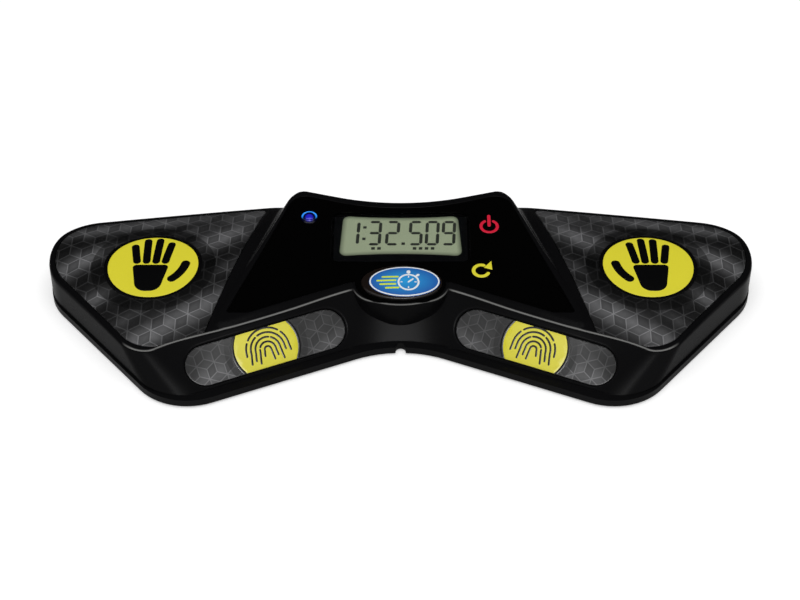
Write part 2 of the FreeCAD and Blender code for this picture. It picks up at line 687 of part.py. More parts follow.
def make_battery_door():
    """Flat door that snaps into the base from below, with grip ribs."""
    body = doc.addObject("PartDesign::Body", "BatteryDoor")
    plate = body.newObject("PartDesign::AdditiveBox", "DoorPlate")
    bind(plate, Length=f"2 * ({BAY_HALF_RULE} + Sizes.door_ledge)",
         Width=f"2 * ({BAY_DEPTH_RULE} + Sizes.door_ledge)", Height="Sizes.door_thick",
         AttachmentOffset__Base__x=f"-({BAY_HALF_RULE} + Sizes.door_ledge)",
         AttachmentOffset__Base__y=f"Sizes.bay_y - ({BAY_DEPTH_RULE} + Sizes.door_ledge)",
         AttachmentOffset__Base__z="Sizes.foot_proud")
    plate.AttachmentSupport = [(origin_plane(body, "XY_Plane"), "")]
    plate.MapMode = "FlatFace"
    groove = body.newObject("PartDesign::SubtractiveBox", "GripGroove")
    bind(groove, Length="Sizes.door_grip", Width="Sizes.groove_width", Height="Sizes.groove_depth",
         AttachmentOffset__Base__x="-Sizes.door_grip / 2",
         AttachmentOffset__Base__y=f"Sizes.bay_y - ({BAY_DEPTH_RULE} + Sizes.door_ledge)"
                                   " + Sizes.grip_inset",
         AttachmentOffset__Base__z="Sizes.foot_proud")
    groove.AttachmentSupport = [(origin_plane(body, "XY_Plane"), "")]
    groove.MapMode = "FlatFace"
    doc.recompute()
    row = body.newObject("PartDesign::LinearPattern", "GripGrooves")
    row.Originals = [groove]
    row.Direction = (origin_axis(body, "Y_Axis"), [""])
    row.Occurrences = 5
    row.setExpression("Length", "4 * Sizes.grip_pitch")
    body.Tip = row
    named(body, "battery_door")


def origin_plane(body, role):
    """One of the body's own origin planes."""
    return next(plane for plane in body.Origin.OriginFeatures if plane.Role == role)


def origin_axis(body, role):
    """One of the body's own origin axes."""
    return next(axis for axis in body.Origin.OriginFeatures if axis.Role == role)


make_batteries()
make_battery_contacts()
make_battery_springs()
make_battery_door()


# ---------------------------------------------------------------- pads and sensors

def make_palm_pad():
    """Thin printed pad let into the arched top of the left wing."""
    return prism(pad_outline(size("fit_gap")), LIP_TOP, TALL).common(crown()).cut(crown(size("pad_thick")))


def make_palm_sensor():
    """Round sensor plate glued to the underside of the left wing's top."""
    top = size("wall") + size("sensor_gap")
    disc = Part.makeCylinder(size("sensor_radius"), TALL, V(-size("palm_x"), size("palm_y"), LIP_TOP))
    return disc.common(crown(top)).cut(crown(top + size("sensor_thick")))


def make_finger_pad():
    """Printed strip that lies in the recess of the left front face."""
    gap = 2 * size("fit_gap")
    strip = slot_prism(size("finger_length") - gap, size("finger_width") - gap)
    return strip.common(tall_body(FINGER_REST, CUT_LOW)).cut(tall_body(size("finger_depth"), CUT_LOW))


def make_finger_sensor():
    """Sensor plate glued behind the left front face."""
    top = size("wall") + size("sensor_gap")
    strip = slot_prism(size("finger_sensor_length"), size("finger_sensor_width"))
    return strip.common(tall_body(top, CUT_LOW)).cut(tall_body(top + size("sensor_thick"), CUT_LOW))


for kind, maker in (("palm_pad", make_palm_pad), ("palm_sensor", make_palm_sensor),
                    ("finger_pad", make_finger_pad), ("finger_sensor", make_finger_sensor)):
    left = maker()
    add_solid(f"left_{kind}", left)
    add_solid(f"right_{kind}", mirror(left))


# ---------------------------------------------------------------- panel and display

def make_console_panel():
    """Glossy plate over the console and the nose, open at the window and the light."""
    plate = panel_prism(size("fit_gap")).common(under_panel()).cut(under_panel(size("panel_thick")))
    return plate.cut([display_place(0.0, size("window_round")), light_hole()])


def make_display_window():
    """Clear window flush with the panel."""
    window = display_place(size("fit_gap"), size("window_round") - size("fit_gap"))
    return window.common(under_panel()).cut(under_panel(size("panel_thick")))


add_solid("console_panel", make_console_panel())
add_solid("display_window", make_display_window())


def panel_rule(y_rule, depth_rule="0"):
    """Expression for the height of a point on the panel or below it."""
    rise = f"({y_rule} - Sizes.panel_front_y) * tan(Sizes.console_tilt)"
    return f"Sizes.panel_front_z + {rise} - ({depth_rule})"


def tilted(feature, y_rule, depth_rule="0"):
    """Lays a primitive on the panel's slope at a depth below its face."""
    turned(feature, X_AXIS, size("console_tilt"))
    return bind(feature, Placement__Rotation__Angle="Sizes.console_tilt", Placement__Base__y=y_rule,
                Placement__Base__z=panel_rule(y_rule, depth_rule))


def make_lcd():
    """Display glass below the window and the two contact strips between it and the board."""
    depth = "Sizes.panel_thick + Sizes.lcd_thick + Sizes.lcd_gap"
    glass = plain("Part::Box", "DisplayGlass", Length="2 * (Sizes.window_half - Sizes.lcd_margin)",
                  Width="(Sizes.window_back_y - Sizes.window_front_y - 2 * Sizes.lcd_margin)",
                  Height="Sizes.lcd_thick", Placement__Base__x="Sizes.lcd_margin - Sizes.window_half")
    tilted(glass, "Sizes.window_front_y + Sizes.lcd_margin + Sizes.lcd_lean", depth)
    named(glass, "lcd_module")
    strips = []
    for y_rule in ("Sizes.window_front_y + 2 * Sizes.lcd_margin + Sizes.lcd_lean",
                   "Sizes.window_back_y - 2 * Sizes.lcd_margin - Sizes.strip_width"):
        height = f"{panel_rule(y_rule, depth)} - {BOARD_TOP_RULE} - Sizes.strip_gap"
        strips.append(plain("Part::Box", "Strip", Length="1.8 * Sizes.window_half",
                            Width="Sizes.strip_width", Height=height,
                            Placement__Base__x="-0.9 * Sizes.window_half",
                            Placement__Base__y=y_rule, Placement__Base__z=BOARD_TOP_RULE))
    pair = doc.addObject("Part::Compound", "ContactStrips")
    pair.Links = strips
    named(pair, "lcd_connectors")


def make_light():
    """Status light: a domed lens in the panel over a diode on the board."""
    body = doc.addObject("PartDesign::Body", "LightLens")
    sketch = body.newObject("Sketcher::SketchObject", "LensProfile")
    sketch.AttachmentSupport = [(origin_plane(body, "XZ_Plane"), "")]
    sketch.MapMode = "FlatFace"
    radius, proud, depth = size("lens_radius"), size("lens_proud"), size("lens_depth")
    dome = (radius * radius + proud * proud) / (2 * proud)
    centre = V(0, proud - dome, 0)
    circle = Part.Circle(centre, Z_AXIS, dome)
    sketch.addGeometry(Part.ArcOfCircle(circle, math.asin((dome - proud) / dome), math.pi / 2), False)
    sketch.addGeometry(Part.LineSegment(V(0, proud, 0), V(0, -depth, 0)), False)
    sketch.addGeometry(Part.LineSegment(V(0, -depth, 0), V(radius, -depth, 0)), False)
    sketch.addGeometry(Part.LineSegment(V(radius, -depth, 0), V(radius, 0, 0)), False)
    sketch.addConstraint(Sketcher.Constraint("Coincident", 0, 2, 1, 1))
    sketch.addConstraint(Sketcher.Constraint("Coincident", 1, 2, 2, 1))
    sketch.addConstraint(Sketcher.Constraint("Coincident", 2, 2, 3, 1))
    sketch.addConstraint(Sketcher.Constraint("Coincident", 3, 2, 0, 1))
    sketch.addConstraint(Sketcher.Constraint("Vertical", 1))
    sketch.addConstraint(Sketcher.Constraint("Horizontal", 2))
    sketch.addConstraint(Sketcher.Constraint("Vertical", 3))
    sketch.addConstraint(Sketcher.Constraint("PointOnObject", 1, 1, -2))
    sketch.addConstraint(Sketcher.Constraint("PointOnObject", 3, 2, -1))
    sketch.addConstraint(Sketcher.Constraint("PointOnObject", 0, 3, -2))
    width = sketch.addConstraint(Sketcher.Constraint("DistanceX", 2, 1, 2, 2, radius))
    sketch.setExpression(f"Constraints[{width}]", "Sizes.lens_radius")
    tall = sketch.addConstraint(Sketcher.Constraint("DistanceY", -1, 1, 1, 1, proud))
    sketch.setExpression(f"Constraints[{tall}]", "Sizes.lens_proud")
    deep = sketch.addConstraint(Sketcher.Constraint("DistanceY", 3, 1, 3, 2, depth))
    sketch.setExpression(f"Constraints[{deep}]", "Sizes.lens_depth")
    turn = body.newObject("PartDesign::Revolution", "Lens")
    turn.Profile = sketch
    turn.ReferenceAxis = (sketch, ["V_Axis"])
    turn.Angle = 360
    tilted(body, "Sizes.light_y")
    bind(body, Placement__Base__x="-Sizes.light_x")
    named(body, "led_lens")
    diode = plain("Part::Cylinder", "Diode", Radius="Sizes.diode_radius",
                  Height=f"{panel_rule('Sizes.light_y', 'Sizes.lens_depth + Sizes.diode_radius')}"
                         f" - {BOARD_TOP_RULE} - Sizes.diode_gap",
                  Placement__Base__x="-Sizes.light_x", Placement__Base__y="Sizes.light_y",
                  Placement__Base__z=BOARD_TOP_RULE)
    tip = plain("Part::Sphere", "DiodeTip", Radius="Sizes.diode_radius",
                Placement__Base__x="-Sizes.light_x", Placement__Base__y="Sizes.light_y",
                Placement__Base__z=panel_rule("Sizes.light_y",
                                              "Sizes.lens_depth + Sizes.diode_radius")
                + " - Sizes.diode_gap")
    whole = doc.addObject("Part::Fuse", "IndicatorDiode")
    whole.Base, whole.Tool = diode, tip
    named(whole, "indicator_led")


def oval_plate(name, label, inset_rule, thick_rule, depth_rule):
    """Oval plate on the nose."""
    oval = plain("Part::Ellipse", name + "Oval", MajorRadius=f"Sizes.badge_half_x - ({inset_rule})",
                 MinorRadius=f"Sizes.badge_half_y - ({inset_rule})")
    plate = doc.addObject("Part::Extrusion", name)
    plate.Base = oval
    plate.DirMode = "Custom"
    plate.Dir = Z_AXIS
    plate.Solid = True
    bind(plate, LengthFwd=thick_rule)
    tilted(plate, "Sizes.badge_y", depth_rule)
    named(plate, label)


def make_key_electrodes():
    """Foam electrodes that carry the two touch keys from the board to the console's skin."""
    pillars = []
    for key in ("power", "reset"):
        y_rule = f"Sizes.{key}_key_y"
        top = panel_rule(f"({y_rule} - Sizes.key_radius)",
                         "Sizes.panel_thick + Sizes.console_skin + Sizes.key_gap")
        pillars.append(plain("Part::Cylinder", "Electrode", Radius="Sizes.key_radius",
                             Height=f"{top} - {BOARD_TOP_RULE}",
                             Placement__Base__x=f"Sizes.{key}_key_x", Placement__Base__y=y_rule,
                             Placement__Base__z=BOARD_TOP_RULE))
    pair = doc.addObject("Part::Compound", "KeyElectrodes")
    pair.Links = pillars
    named(pair, "key_electrodes")


make_lcd()
make_light()
oval_plate("BadgeBase", "badge_base", "0", "Sizes.badge_base_thick", "0")
oval_plate("BadgeFace", "badge_face", "Sizes.badge_rim", "Sizes.badge_face_thick",
           "-Sizes.badge_base_thick / cos(Sizes.console_tilt)")
make_key_electrodes()


# ---------------------------------------------------------------- board and what it carries

def make_main_board():
    """Circuit board with its four screw holes."""
    board = plain("Part::Box", "BoardBlank", Length="2 * Sizes.board_half",
                  Width="Sizes.board_back_y - Sizes.board_front_y", Height="Sizes.board_thick",
                  Placement__Base__x="-Sizes.board_half", Placement__Base__y="Sizes.board_front_y",
                  Placement__Base__z="Sizes.board_z")
    holes = []
    for side in (-1, 1):
        for y_rule in ("Sizes.board_front_y + Sizes.standoff_inset",
                       "Sizes.board_back_y - Sizes.standoff_inset"):
            holes.append(plain("Part::Cylinder", "BoardHole",
                               Radius="Sizes.board_screw_radius + Sizes.screw_gap",
                               Height="Sizes.board_thick",
                               Placement__Base__x=f"{side} * (Sizes.board_half - Sizes.standoff_end)",
                               Placement__Base__y=y_rule, Placement__Base__z="Sizes.board_z"))
    drill = doc.addObject("Part::Compound", "BoardHoles")
    drill.Links = holes
    cut = doc.addObject("Part::Cut", "MainBoard")
    cut.Base, cut.Tool = board, drill
    named(cut, "main_board")
    chip = plain("Part::Box", "Chip", Length="Sizes.chip_side", Width="Sizes.chip_side",
                 Height="Sizes.chip_thick",
                 Placement__Base__x="-Sizes.chip_x - Sizes.chip_side / 2",
                 Placement__Base__y="Sizes.chip_y - Sizes.chip_side / 2",
                 Placement__Base__z=BOARD_TOP_RULE)
    named(chip, "processor")


def make_data_jack():
    """Socket below the board's back edge; its bushing passes through the back wall."""
    face, z = back_middle(housing_outline(size("jack_z"))), size("jack_z")
    nose = Part.makeCylinder(size("jack_nose"), size("jack_bore_length") + size("jack_end"),
                             V(0, face, z), -Y_AXIS)
    half = size("jack_half")
    back = face - size("wall") - size("jack_setback")
    top = size("board_z")
    body = Part.makeBox(2 * half, size("jack_body_length"), top - z + half,
                        V(-half, back - size("jack_body_length"), z - half))
    bore = Part.makeCylinder(size("jack_bore"), size("jack_bore_length"), V(0, face, z), -Y_AXIS)
    add_solid("data_jack", nose.fuse(body).cut(bore).removeSplitter())


def make_ribbons():
    """Flat ribbons from the palm sensors to the ends of the board."""
    for side, word in ((-1, "left"), (1, "right")):
        sensor_end = "(Sizes.palm_x - Sizes.sensor_radius - 1)"
        start = "(Sizes.board_half - Sizes.ribbon_lap)"
        x_rule = f"-{sensor_end}" if side < 0 else start
        ribbon = plain("Part::Box", "Ribbon", Length=f"{sensor_end} - {start}",
                       Width="Sizes.ribbon_width", Height="Sizes.ribbon_thick",
                       Placement__Base__x=x_rule,
                       Placement__Base__y="Sizes.palm_y - Sizes.ribbon_width / 2",
                       Placement__Base__z=f"{BOARD_TOP_RULE} + Sizes.ribbon_gap")
        named(ribbon, f"{word}_sensor_ribbon")


make_main_board()
make_data_jack()
make_ribbons()


# ---------------------------------------------------------------- screws and feet

def screw(head_radius, head_height, radius, length, drive_radius, drive_depth):
    """Pan screw, point up from z = 0 where its head bears; its head hangs below."""
    head = Part.makeCone(head_radius * 0.8, head_radius, head_height, V(0, 0, -head_height))
    shank = Part.makeCylinder(radius, length)
    wing = Part.makeBox(2 * drive_radius, drive_radius / 2, drive_depth,
                        V(-drive_radius, -drive_radius / 4, -head_height))
    other = wing.copy()
    other.rotate(V(0, 0, 0), Z_AXIS, 90)
    return head.fuse(shank).cut([wing, other])


def make_case_screws():
    """Screws that pull the base against the housing's posts, heads below."""
    one = screw(size("screw_head_radius"), size("screw_head_height"), size("screw_radius"),
                size("screw_length"), size("drive_radius"), size("drive_depth"))
    solids = []
    for x, y in SCREWS:
        copy = one.copy()
        copy.translate(V(x, y, size("screw_seat")))
        solids.append(copy)
    add_solid("case_screws", Part.makeCompound(solids))


def make_board_screws():
    """Screws that hold the board on its posts, heads above."""
    one = screw(size("board_screw_head"), size("board_screw_height"), size("board_screw_radius"),
                size("board_screw_length"), size("drive_radius") * 0.8, size("drive_depth") * 0.7)
    one.rotate(V(0, 0, 0), X_AXIS, 180)
    solids = []
    for x, y in STANDOFFS:
        copy = one.copy()
        copy.translate(V(x, y, BOARD_TOP))
        solids.append(copy)
    add_solid("board_screws", Part.makeCompound(solids))


def make_feet():
    """Rubber feet glued into shallow seats of the base."""
    feet = []
    for x, y in FEET:
        foot = plain("Part::Cylinder", "Foot", Radius="Sizes.foot_radius", Height="Sizes.foot_thick")
        foot.Placement = FreeCAD.Placement(V(x, y, 0), FreeCAD.Rotation())
        feet.append(foot)
    group = doc.addObject("Part::Compound", "Feet")
    group.Links = feet
    named(group, "rubber_feet")


make_case_screws()
make_board_screws()
make_feet()


# ---------------------------------------------------------------- check and write

NODES = [
    "upper_housing", "base_shell", "console_panel", "display_window", "lcd_module", "lcd_connectors",
    "led_lens", "indicator_led", "badge_base", "badge_face", "key_electrodes",
    "left_palm_pad", "right_palm_pad", "left_palm_sensor", "right_palm_sensor",
    "left_finger_pad", "right_finger_pad", "left_finger_sensor", "right_finger_sensor",
    "left_sensor_ribbon", "right_sensor_ribbon", "main_board", "processor", "data_jack",
    "batteries", "battery_contacts", "battery_springs", "battery_door",
    "case_screws", "board_screws", "rubber_feet",
]


def check_and_write():
    """Stops on any failed object or bad shape, then writes one file for each node."""
    doc.recompute()
    for feature in doc.Objects:
        if "Invalid" in feature.State or "Error" in feature.State:
            raise RuntimeError(f"{feature.Label} failed: {feature.State}")
    shapes = {}
    for label in NODES:
        feature = doc.getObjectsByLabel(label)[0]
        shape = feature.Shape
        if shape.isNull() or not shape.isValid() or not shape.Solids:
            raise RuntimeError(f"{label} has no valid solid")
        shapes[label] = shape
    os.makedirs("parts", exist_ok=True)
    for label, shape in shapes.items():
        shape.exportStep(f"parts/{label}.step")
        print(f"{label:22s} solids {len(shape.Solids):2d} volume {shape.Volume:10.1f}")


check_and_write()
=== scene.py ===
import math

import bmesh
import bpy
import numpy as np
from bpy.props import FloatProperty, FloatVectorProperty, PointerProperty
from bpy.types import Operator, Panel, PropertyGroup
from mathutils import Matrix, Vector
from mathutils.geometry import delaunay_2d_cdt


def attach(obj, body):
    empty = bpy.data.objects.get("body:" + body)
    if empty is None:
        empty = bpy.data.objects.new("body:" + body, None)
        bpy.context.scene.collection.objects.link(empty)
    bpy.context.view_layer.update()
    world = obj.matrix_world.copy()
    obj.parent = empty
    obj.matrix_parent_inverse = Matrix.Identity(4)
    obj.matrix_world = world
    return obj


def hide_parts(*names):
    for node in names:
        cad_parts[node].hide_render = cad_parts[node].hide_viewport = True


bl_info = {
    "name": "Speed cube timer",
    "version": (1, 0, 0),
    "blender": (4, 5, 0),
    "location": "3D View > Sidebar > Timer",
    "description": "Shells, printed pads, display, badge and studio of a two-winged speed cube timer",
    "category": "Object",
}

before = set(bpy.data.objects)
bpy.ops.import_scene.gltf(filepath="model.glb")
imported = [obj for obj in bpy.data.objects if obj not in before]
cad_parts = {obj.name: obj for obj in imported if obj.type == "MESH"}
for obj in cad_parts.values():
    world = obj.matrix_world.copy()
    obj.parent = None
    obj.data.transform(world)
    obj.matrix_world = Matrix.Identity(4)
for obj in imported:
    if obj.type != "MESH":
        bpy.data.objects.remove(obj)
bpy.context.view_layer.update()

# The timer is worked out in millimetres in the frame of the solids, and turned to metres once, when
# a mesh is made.  The studio round it is in metres.
MM = 0.001
NO_POINTS = np.empty((0, 2))
# a point nearer to a line than this, in mm, lies on it; corners nearer than this, in m, are joined
ON_LINE, WELD_METRES = 1e-4, 2e-7
# faces that meet at more than this angle keep a sharp edge
SHARP_DEGREES = 40.0
# scale of the clouds in a moulding's colour and gloss
PATCHES_PER_METRE = 45.0


# ------------------------------------------------------------------ outlines

def unit(vectors):
    """Each row divided by its length."""
    return vectors / np.linalg.norm(vectors, axis=-1, keepdims=True)


def cross(u, w):
    """Height of the cross product of plan vectors."""
    return u[..., 0] * w[..., 1] - u[..., 1] * w[..., 0]


def inward_of(line):
    """Directions square to a clockwise closed line, pointing inside."""
    ahead = unit(np.roll(line, -1, axis=0) - np.roll(line, 1, axis=0))
    return np.column_stack([ahead[:, 1], -ahead[:, 0]])


def smoothed(values):
    """Each value of a closed row averaged with the nine on each side."""
    return np.convolve(np.concatenate([values[-9:], values, values[:9]]), np.ones(19) / 19, "valid")


def shifted(corners, moves):
    """Outline (x, y, radius) whose edge i moves inward by moves[i] at its two ends.

    The corners run clockwise seen from above.  A new corner lies where neighbouring moved edges
    meet; its radius is the old one less the move, or plus the move where the corner is hollow.
    """
    corners, moves = np.array(corners, float), np.array(moves, float)
    here = corners[:, :2]
    there = np.roll(here, -1, axis=0)
    ahead = unit(there - here)
    inward = np.column_stack([ahead[:, 1], -ahead[:, 0]])
    first, last = here + inward * moves[:, :1], there + inward * moves[:, 1:]
    w = unit(last - first)
    before, u = np.roll(first, 1, axis=0), np.roll(w, 1, axis=0)
    turn = cross(u, w)
    meet = before + u * (cross(first - before, w) / turn)[:, None]
    move = (np.roll(moves[:, 1], 1) + moves[:, 0]) / 2
    radius = np.maximum(corners[:, 2] + np.where(turn > 0, move, -move), 0.6)
    return np.column_stack([meet, radius])


def evenly(corners, distance):
    """The outline moved inward by one distance on every edge."""
    return shifted(corners, [(distance, distance)] * len(corners))


def with_mirror(half):
    """A half outline, from the front middle by the left side to the back middle, made whole."""
    return half + [(-x, y, radius) for x, y, radius in reversed(half[1:-1])]


def rounded_loop(corners, arcs, runs):
    """Points of a closed outline: an arc at each corner, then the inner points of its next edge.

    An arc's centre lies along the corner's bisector, at the radius over the sine of its half angle.
    The arc blends the directions to its two ends by the sines of the angle still to go and of the
    angle gone, over the sine of the whole sweep.
    """
    corners = np.array(corners, float)
    count = len(corners)
    arcs = np.broadcast_to(arcs, count)
    runs = np.broadcast_to(runs, count)
    here, radius = corners[:, :2], corners[:, 2]
    back = unit(np.roll(here, 1, axis=0) - here)
    ahead = unit(np.roll(here, -1, axis=0) - here)
    half = np.arccos(np.clip((back * ahead).sum(1), -1, 1)) / 2
    start = here + back * (radius / np.tan(half))[:, None]
    end = here + ahead * (radius / np.tan(half))[:, None]
    centre = here + unit(back + ahead) * (radius / np.sin(half))[:, None]
    sweep = np.pi - 2 * half
    pieces = []
    for i in range(count):
        t = np.linspace(0, 1, arcs[i])[:, None]
        p, q = start[i] - centre[i], end[i] - centre[i]
        blend = np.sin((1 - t) * sweep[i]) * p + np.sin(t * sweep[i]) * q
        pieces.append(centre[i] + blend / np.sin(sweep[i]))
        t = np.linspace(0, 1, runs[i] + 2)[1:-1, None]
        pieces.append(end[i] + (start[(i + 1) % count] - end[i]) * t)
    return np.vstack(pieces)


def oval(half_x, half_y, count, centre):
    """Points of an ellipse, clockwise."""
    t = -np.linspace(0, 2 * np.pi, count, endpoint=False)
    return np.column_stack([centre[0] + half_x * np.cos(t), centre[1] + half_y * np.sin(t)])


def box_corners(x0, x1, y0, y1, radius):
    """Clockwise corners of a rounded rectangle."""
    return [(x1, y0, radius), (x0, y0, radius), (x0, y1, radius), (x1, y1, radius)]


def ring(outer, inner, centre, count):
    """The two loops of a flat ring."""
    return [oval(outer, outer, count, centre), oval(inner, inner, count, centre)]


def stroke(path, width, pitch=0.8):
    """Closed loop at half a width round an open line, with half-round ends."""
    path = np.array(path, float)
    along = np.append(0, np.cumsum(np.linalg.norm(np.diff(path, axis=0), axis=1)))
    even = np.linspace(0, along[-1], max(int(along[-1] / pitch), 1) + 1)
    path = np.column_stack([np.interp(even, along, path[:, axis]) for axis in (0, 1)])
    ahead = unit(np.gradient(path, axis=0))
    side = np.column_stack([-ahead[:, 1], ahead[:, 0]]) * width / 2
    t = np.linspace(0, np.pi, 9)[1:-1, None]
    end = path[-1] + side[-1] * np.cos(t) + ahead[-1] * width / 2 * np.sin(t)
    start = path[0] - side[0] * np.cos(t) - ahead[0] * width / 2 * np.sin(t)
    return np.vstack([path + side, end, (path - side)[::-1], start])


def arc_line(radius, first, last, centre=(0.0, 0.0), count=48):
    """Open line along a circle, between two angles in degrees."""
    t = np.radians(np.linspace(first, last, count))
    return np.column_stack([centre[0] + radius * np.cos(t), centre[1] + radius * np.sin(t)])


def stadium(length, width, inset=0.0, count=20):
    """Clockwise points of a long shape with half-round ends, moved inward."""
    radius, half = width / 2 - inset, (length - width) / 2
    t = np.linspace(np.pi / 2, -np.pi / 2, count)
    right = np.column_stack([half + radius * np.cos(t), radius * np.sin(t)])
    run = np.linspace(half, -half, 34)[1:-1]
    lower = np.column_stack([run, np.full(len(run), -radius)])
    return np.vstack([right, lower, -right, -lower])


def signed_distance(points, loop):
    """Distance of plan points from a closed line of points, negative inside it."""
    ends = np.roll(loop, -1, axis=0)
    result = np.empty(len(points))
    for low in range(0, len(points), 4000):
        p = points[low:low + 4000, None, :]
        run = ends - loop
        t = np.clip(((p - loop) * run).sum(2) / (run * run).sum(1), 0, 1)
        gap = np.linalg.norm(p - loop - t[..., None] * run, axis=2).min(1)
        spans = (loop[:, 1] > p[..., 1]) != (ends[:, 1] > p[..., 1])
        at = loop[:, 0] + (p[..., 1] - loop[:, 1]) * run[:, 0] / np.where(run[:, 1] == 0, 1, run[:, 1])
        inside = (spans & (p[..., 0] < at)).sum(1) % 2 == 1
        result[low:low + 4000] = np.where(inside, -gap, gap)
    return result


# ------------------------------------------------------------------ form of the timer

# levels: the base's lip, the top of the drawn walls, and the rim's height above the lip
LIP_TOP, TALL, RIM_RISE = 3.8, 26.0, 16.2
# outlines as corners (x, y, radius): the base, and the console round its panel
BASE = with_mirror([(0, -18.85, 44), (-88.2, -57.1, 24), (-162.33, 31.22, 25), (-49.1, 52.72, 30),
                    (0, 39.85, 100)])
CONSOLE = with_mirror([(0, 4.8, 2), (-59, -19, 2), (-67.7, -19, 1), (-43, 46.55, 7), (0, 34.25, 100)])
# x of the wing's tip, and the share of its corner's radius that rounding takes off the corner's x
TIP_REACH, TIP_SHARE = 140.7, 0.862
# fall of the console's front line for each millimetre of x, and the length of that step
CONSOLE_FALL, CONSOLE_STEP = 0.4034, 1.078
# the panel: y of its front, its height there and its slope, its depth and edge, the window's depth
PANEL_FRONT, PANEL_HEIGHT, TILT = -19.0, 18.61, math.tan(math.radians(5.3))
PANEL_DEPTH, PANEL_ROUND, WINDOW_DEPTH = 1.2, 0.3, 4.2
# the window's half width, y of its front and back; the indicator lens's middle
WINDOW, LENS = (28.0, 8.25, 35.65), (-36.98, 32.75)
# the badge's middle and half sizes, and the level down to which the nose reaches
BADGE, BADGE_HALF, NOSE_FOOT = (1.5, -3.4), (13.9, 7.9), 5.0
# the wings' crest: its y and height, and the arch's radii in front of it and behind
CREST_Y, CREST, FRONT_RADIUS, BACK_RADIUS = 6.8, 20.1, 190.0, 165.0
# middle of the left palm spot; depth and edge of the palm pad's recess
PALM, PAD_DEPTH, PAD_ROUND = (-98.1, 7.25), 0.95, 0.35
# the finger recess: its length and width, its depth and its film's, its middle's x and level, its turn
RECESS, RECESS_DEPTH, FILM_DEPTH = (65.0, 15.9), 1.5, 0.8
RECESS_MIDDLE, RECESS_ROLL_DEGREES = (-51.7, 10.4), 2.4
# the shadow groove at the foot of the walls
GROOVE_DEPTH, GROOVE_HEIGHT = 0.55, 0.5
# distances outside a recess's edge at which a line of points follows it, and two inside the wall
EDGE_STEPS, INSIDE_STEPS = np.array([2.2, 1.5, 1.0, 0.7, 0.45, 0.22, 0.06, 0.0]), [-0.03, -1.2]
# points on each corner's arc and on each edge of the housing's outline
ARCS, RUNS = [28, 28, 28, 18, 18, 18, 28, 28], [64, 40, 60, 16, 16, 60, 40, 64]
# bow of the front edges at the rim, inward, by distance from the middle
FRONT_BOW = [(0, 20, 33, 45, 56, 64, 75, 84, 92), (3.5, 2.5, 0.9, -0.5, -1.2, -1.1, -1.5, -1.5, 0.2)]


def housing_corners(level):
    """The housing's outline at one height: its front leans back, its other walls nearly upright.

    The tip's radius keeps its outermost point at the same x at every height.
    """
    rise = (level - LIP_TOP) / RIM_RISE
    side = 0.8 + 0.5 * rise
    middle, corner = 3.2 + 12.0 * rise, 3.2 + 25.0 * rise
    corners = shifted(BASE, [(middle, corner)] + [(side, side)] * 6 + [(corner, middle)])
    corners[[2, 6], 2] = (np.abs(corners[[2, 6], 0]) - TIP_REACH) / TIP_SHARE
    return corners


def swept_front(line):
    """The upper outline with its front edges bowed: 3.5 mm inward in the middle to 1.5 mm outward.

    The bow follows x between the front middle and the wing's corner, and fades out round it.
    """
    inward = inward_of(line)
    weight = np.clip((inward[:, 1] - 0.61) / 0.28, 0, 1)
    bow = np.interp(np.abs(line[:, 0]), *FRONT_BOW) * (TALL - LIP_TOP) / RIM_RISE
    return line + inward * smoothed(bow * weight * weight * (3 - 2 * weight))[:, None]


FOOT_LINE = rounded_loop(housing_corners(LIP_TOP), ARCS, RUNS)
TALL_LINE = swept_front(rounded_loop(housing_corners(TALL), ARCS, RUNS))


def wall_at(level):
    """Points of the ruled wall at a height for each station."""
    share = (np.asarray(level) - LIP_TOP) / (TALL - LIP_TOP)
    return FOOT_LINE + (TALL_LINE - FOOT_LINE) * share[..., None]


def soft_low(a, b, k):
    """Lower of two heights, rounded off over k where they cross."""
    h = np.maximum(k - np.abs(a - b), 0) / k
    return np.minimum(a, b) - h * h * k / 4


def wing_top(points):
    """Height of the arched wings, along y two arcs that meet at the crest.

    Near the outer side the arch runs into a plane that rises inward by a quarter from 16.1 mm.
    """
    x, y = -np.abs(points[:, 0]), points[:, 1]
    radius = np.where(y < CREST_Y, FRONT_RADIUS, BACK_RADIUS)
    arch = CREST - radius + np.sqrt(radius ** 2 - (y - CREST_Y) ** 2)
    side_start, side_way = np.array(BASE[1][:2]), np.array([-0.643, 0.766])
    inward = cross(np.column_stack([x, y]) - side_start, side_way)
    return soft_low(arch, 16.1 + 0.25 * inward, 2.5)


def panel_top(y):
    """Height of the panel, which rises to the back by 5.3 degrees."""
    return PANEL_HEIGHT + (y - PANEL_FRONT) * TILT


# rim of the console, where its flank begins: 9 mm outside the panel in front, 1.2 to 5.2 mm elsewhere
CONSOLE_RIM = rounded_loop(shifted(CONSOLE, [(-9, -9)] * 2 + [(-2.6, -1.2)] + [(-5.2, -5.2)] * 2
                                   + [(-1.2, -2.6)] + [(-9, -9)] * 2), 14, 24)


def console_line(inset=0.0):
    """Points of the console's outline, moved inward."""
    return rounded_loop(evenly(CONSOLE, inset), 14, 24)


def nose_line(inset):
    """Points of the round nose's outline, moved inward."""
    half, back, radius = 19.4 - inset, 8.8 - 0.3 * inset, 10 - inset
    corners = [(0, 1.03 * inset - 15.8, 32 - inset), (-half, inset - 11.2, radius), (-half, back, 1.0),
               (half, back, 1.0), (half, inset - 11.2, radius)]
    return rounded_loop(corners, [24, 30, 4, 4, 30], [6, 20, 16, 20, 6])


